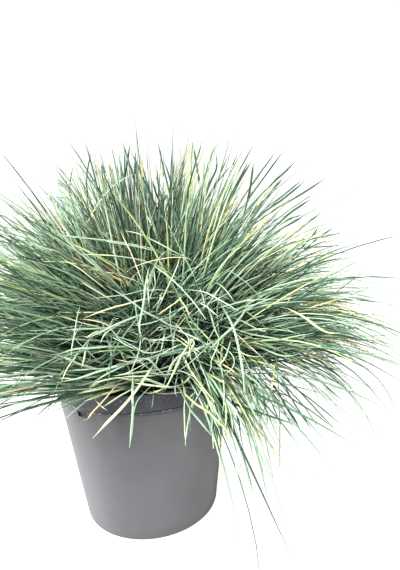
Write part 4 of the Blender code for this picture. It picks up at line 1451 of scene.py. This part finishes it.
def makeCrumbTree():
    tree, bench = newTree("crumbsOnTop", (
        ("Density", "Float"), ("Smallest", "Float"), ("Largest", "Float"), ("Seed", "Int"),
        ("Finish", "Material"),
    ))
    given = bench.add("NodeGroupInput").outputs

    def chance(inputs, kind="FLOAT_VECTOR"):
        return bench.add("FunctionNodeRandomValue", inputs, data_type=kind).outputs

    onTop = bench.add("GeometryNodeInputNamedAttribute", {"Name": "onTop"}, data_type="BOOLEAN")
    spread = bench.add("GeometryNodeDistributePointsOnFaces", {
        "Mesh": given["Geometry"], "Selection": onTop.outputs["Attribute"], "Density": given["Density"],
        "Seed": given["Seed"],
    })
    ball = bench.add("GeometryNodeMeshIcoSphere", {"Radius": 0.5, "Subdivisions": 1})
    turn = chance({"Max": (math.tau, math.tau, math.tau), "Seed": given["Seed"]})[0]
    size = chance({2: given["Smallest"], 3: given["Largest"]}, "FLOAT")[1]
    stretch = chance({"Min": (0.6, 0.6, 0.4), "Max": (1.7, 1.1, 0.8)})[0]
    placed = bench.add("GeometryNodeInstanceOnPoints", {
        "Points": spread.outputs["Points"], "Instance": ball.outputs["Mesh"], "Rotation": turn,
        "Scale": bench.scaled(stretch, size),
    })
    endTree(bench, placed.outputs["Instances"], given["Finish"])
    return tree


compostMaterial = makeCompostFinish(compostSetup)
fillPiece = makeCompost()
fillPiece.data.materials.append(compostMaterial)
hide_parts("compost")
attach(fillPiece, "root")
sown = linkObject("sownCompost", fillPiece.data.copy())
crumbPiece = grownPiece("compost_crumbs", sown, makeCrumbTree(), {
    "Density": compostSetup["crumbDensity"], "Smallest": compostSetup["crumbSize"][0],
    "Largest": compostSetup["crumbSize"][1], "Seed": compostSetup["seed"], "Finish": compostMaterial,
})
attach(crumbPiece, "root")
print("fescue: compost and crumbs made", len(crumbPiece.data.polygons))


# stage and light

studio = {
    "seenWhite": 1.0,
    "fill": 0.075,
    "shine": 0.6,  # how bright the room is in reflections
    "sun": 8.6,
    "sunAngle": 12.0,
    "sunPlace": (-0.7, -0.9, 1.1),
    "leftPower": 40.0,
    "rightPower": 20.0,
    "floorHalf": 6.0,
    "floor": 0.26,
    "floorSeen": 0.12,
    "floorGlow": 0.84,
}


def makeStage(setup):
    mesh = bpy.data.meshes.new("studioFloor")
    half = setup["floorHalf"]
    corners = [(-half, -half, 0), (half, -half, 0), (half, half, 0), (-half, half, 0)]
    mesh.from_pydata(corners, [], [(0, 1, 2, 3)])
    floor = linkObject("studioFloor", mesh)
    finish, shader, bench = newFinish("paleFloor")
    looked = bench.add("ShaderNodeLightPath").outputs["Is Camera Ray"]
    bench.fill(shader, {
        "Roughness": 0.9,
        "Emission Color": (1, 1, 1, 1),
        "Base Color": bench.ranged(looked, (0, 1), (setup["floor"], setup["floorSeen"])),
        "Emission Strength": bench.ranged(looked, (0, 1), (0.0, setup["floorGlow"])),
    })
    mesh.materials.append(finish)


def addPanel(name, place, target, size, power):
    data = bpy.data.lights.new(name, "AREA")
    data.shape = "RECTANGLE"
    data.size, data.size_y = size
    data.energy = power
    panel = linkObject(name, data)
    panel.location = place
    lookAt(panel, target)


def makeLight(setup):
    # white all round, and softer as a light than it looks
    world = bpy.data.worlds.new("studioWorld")
    bpy.context.scene.world = world
    world.use_nodes = True
    bench = NodeBench(world.node_tree)
    path = bench.add("ShaderNodeLightPath").outputs
    level = setup["fill"]
    for ray, value in (("Is Glossy Ray", setup["shine"]), ("Is Camera Ray", setup["seenWhite"])):
        level = bench.add("ShaderNodeMix", {"Factor": path[ray], "A": level, "B": value}).outputs["Result"]
    bench.fill(world.node_tree.nodes["Background"], {"Color": (1, 1, 1, 1), "Strength": level})
    data = bpy.data.lights.new("keySun", "SUN")
    data.energy = setup["sun"]
    data.angle = math.radians(setup["sunAngle"])
    sun = linkObject("keySun", data)
    sun.location = setup["sunPlace"]
    lookAt(sun, (0, 0, 0.1))
    addPanel("leftPanel", (-1.1, 0.1, 0.5), (0, 0, 0.12), (0.7, 0.9), setup["leftPower"])
    addPanel("rightPanel", (1.0, -0.5, 0.35), (0, 0, 0.12), (0.6, 0.8), setup["rightPower"])


makeStage(studio)
makeLight(studio)
bpy.context.scene.view_settings.view_transform = "Standard"
bpy.context.scene.view_settings.look = "Medium High Contrast"
print("fescue: stage and light set")
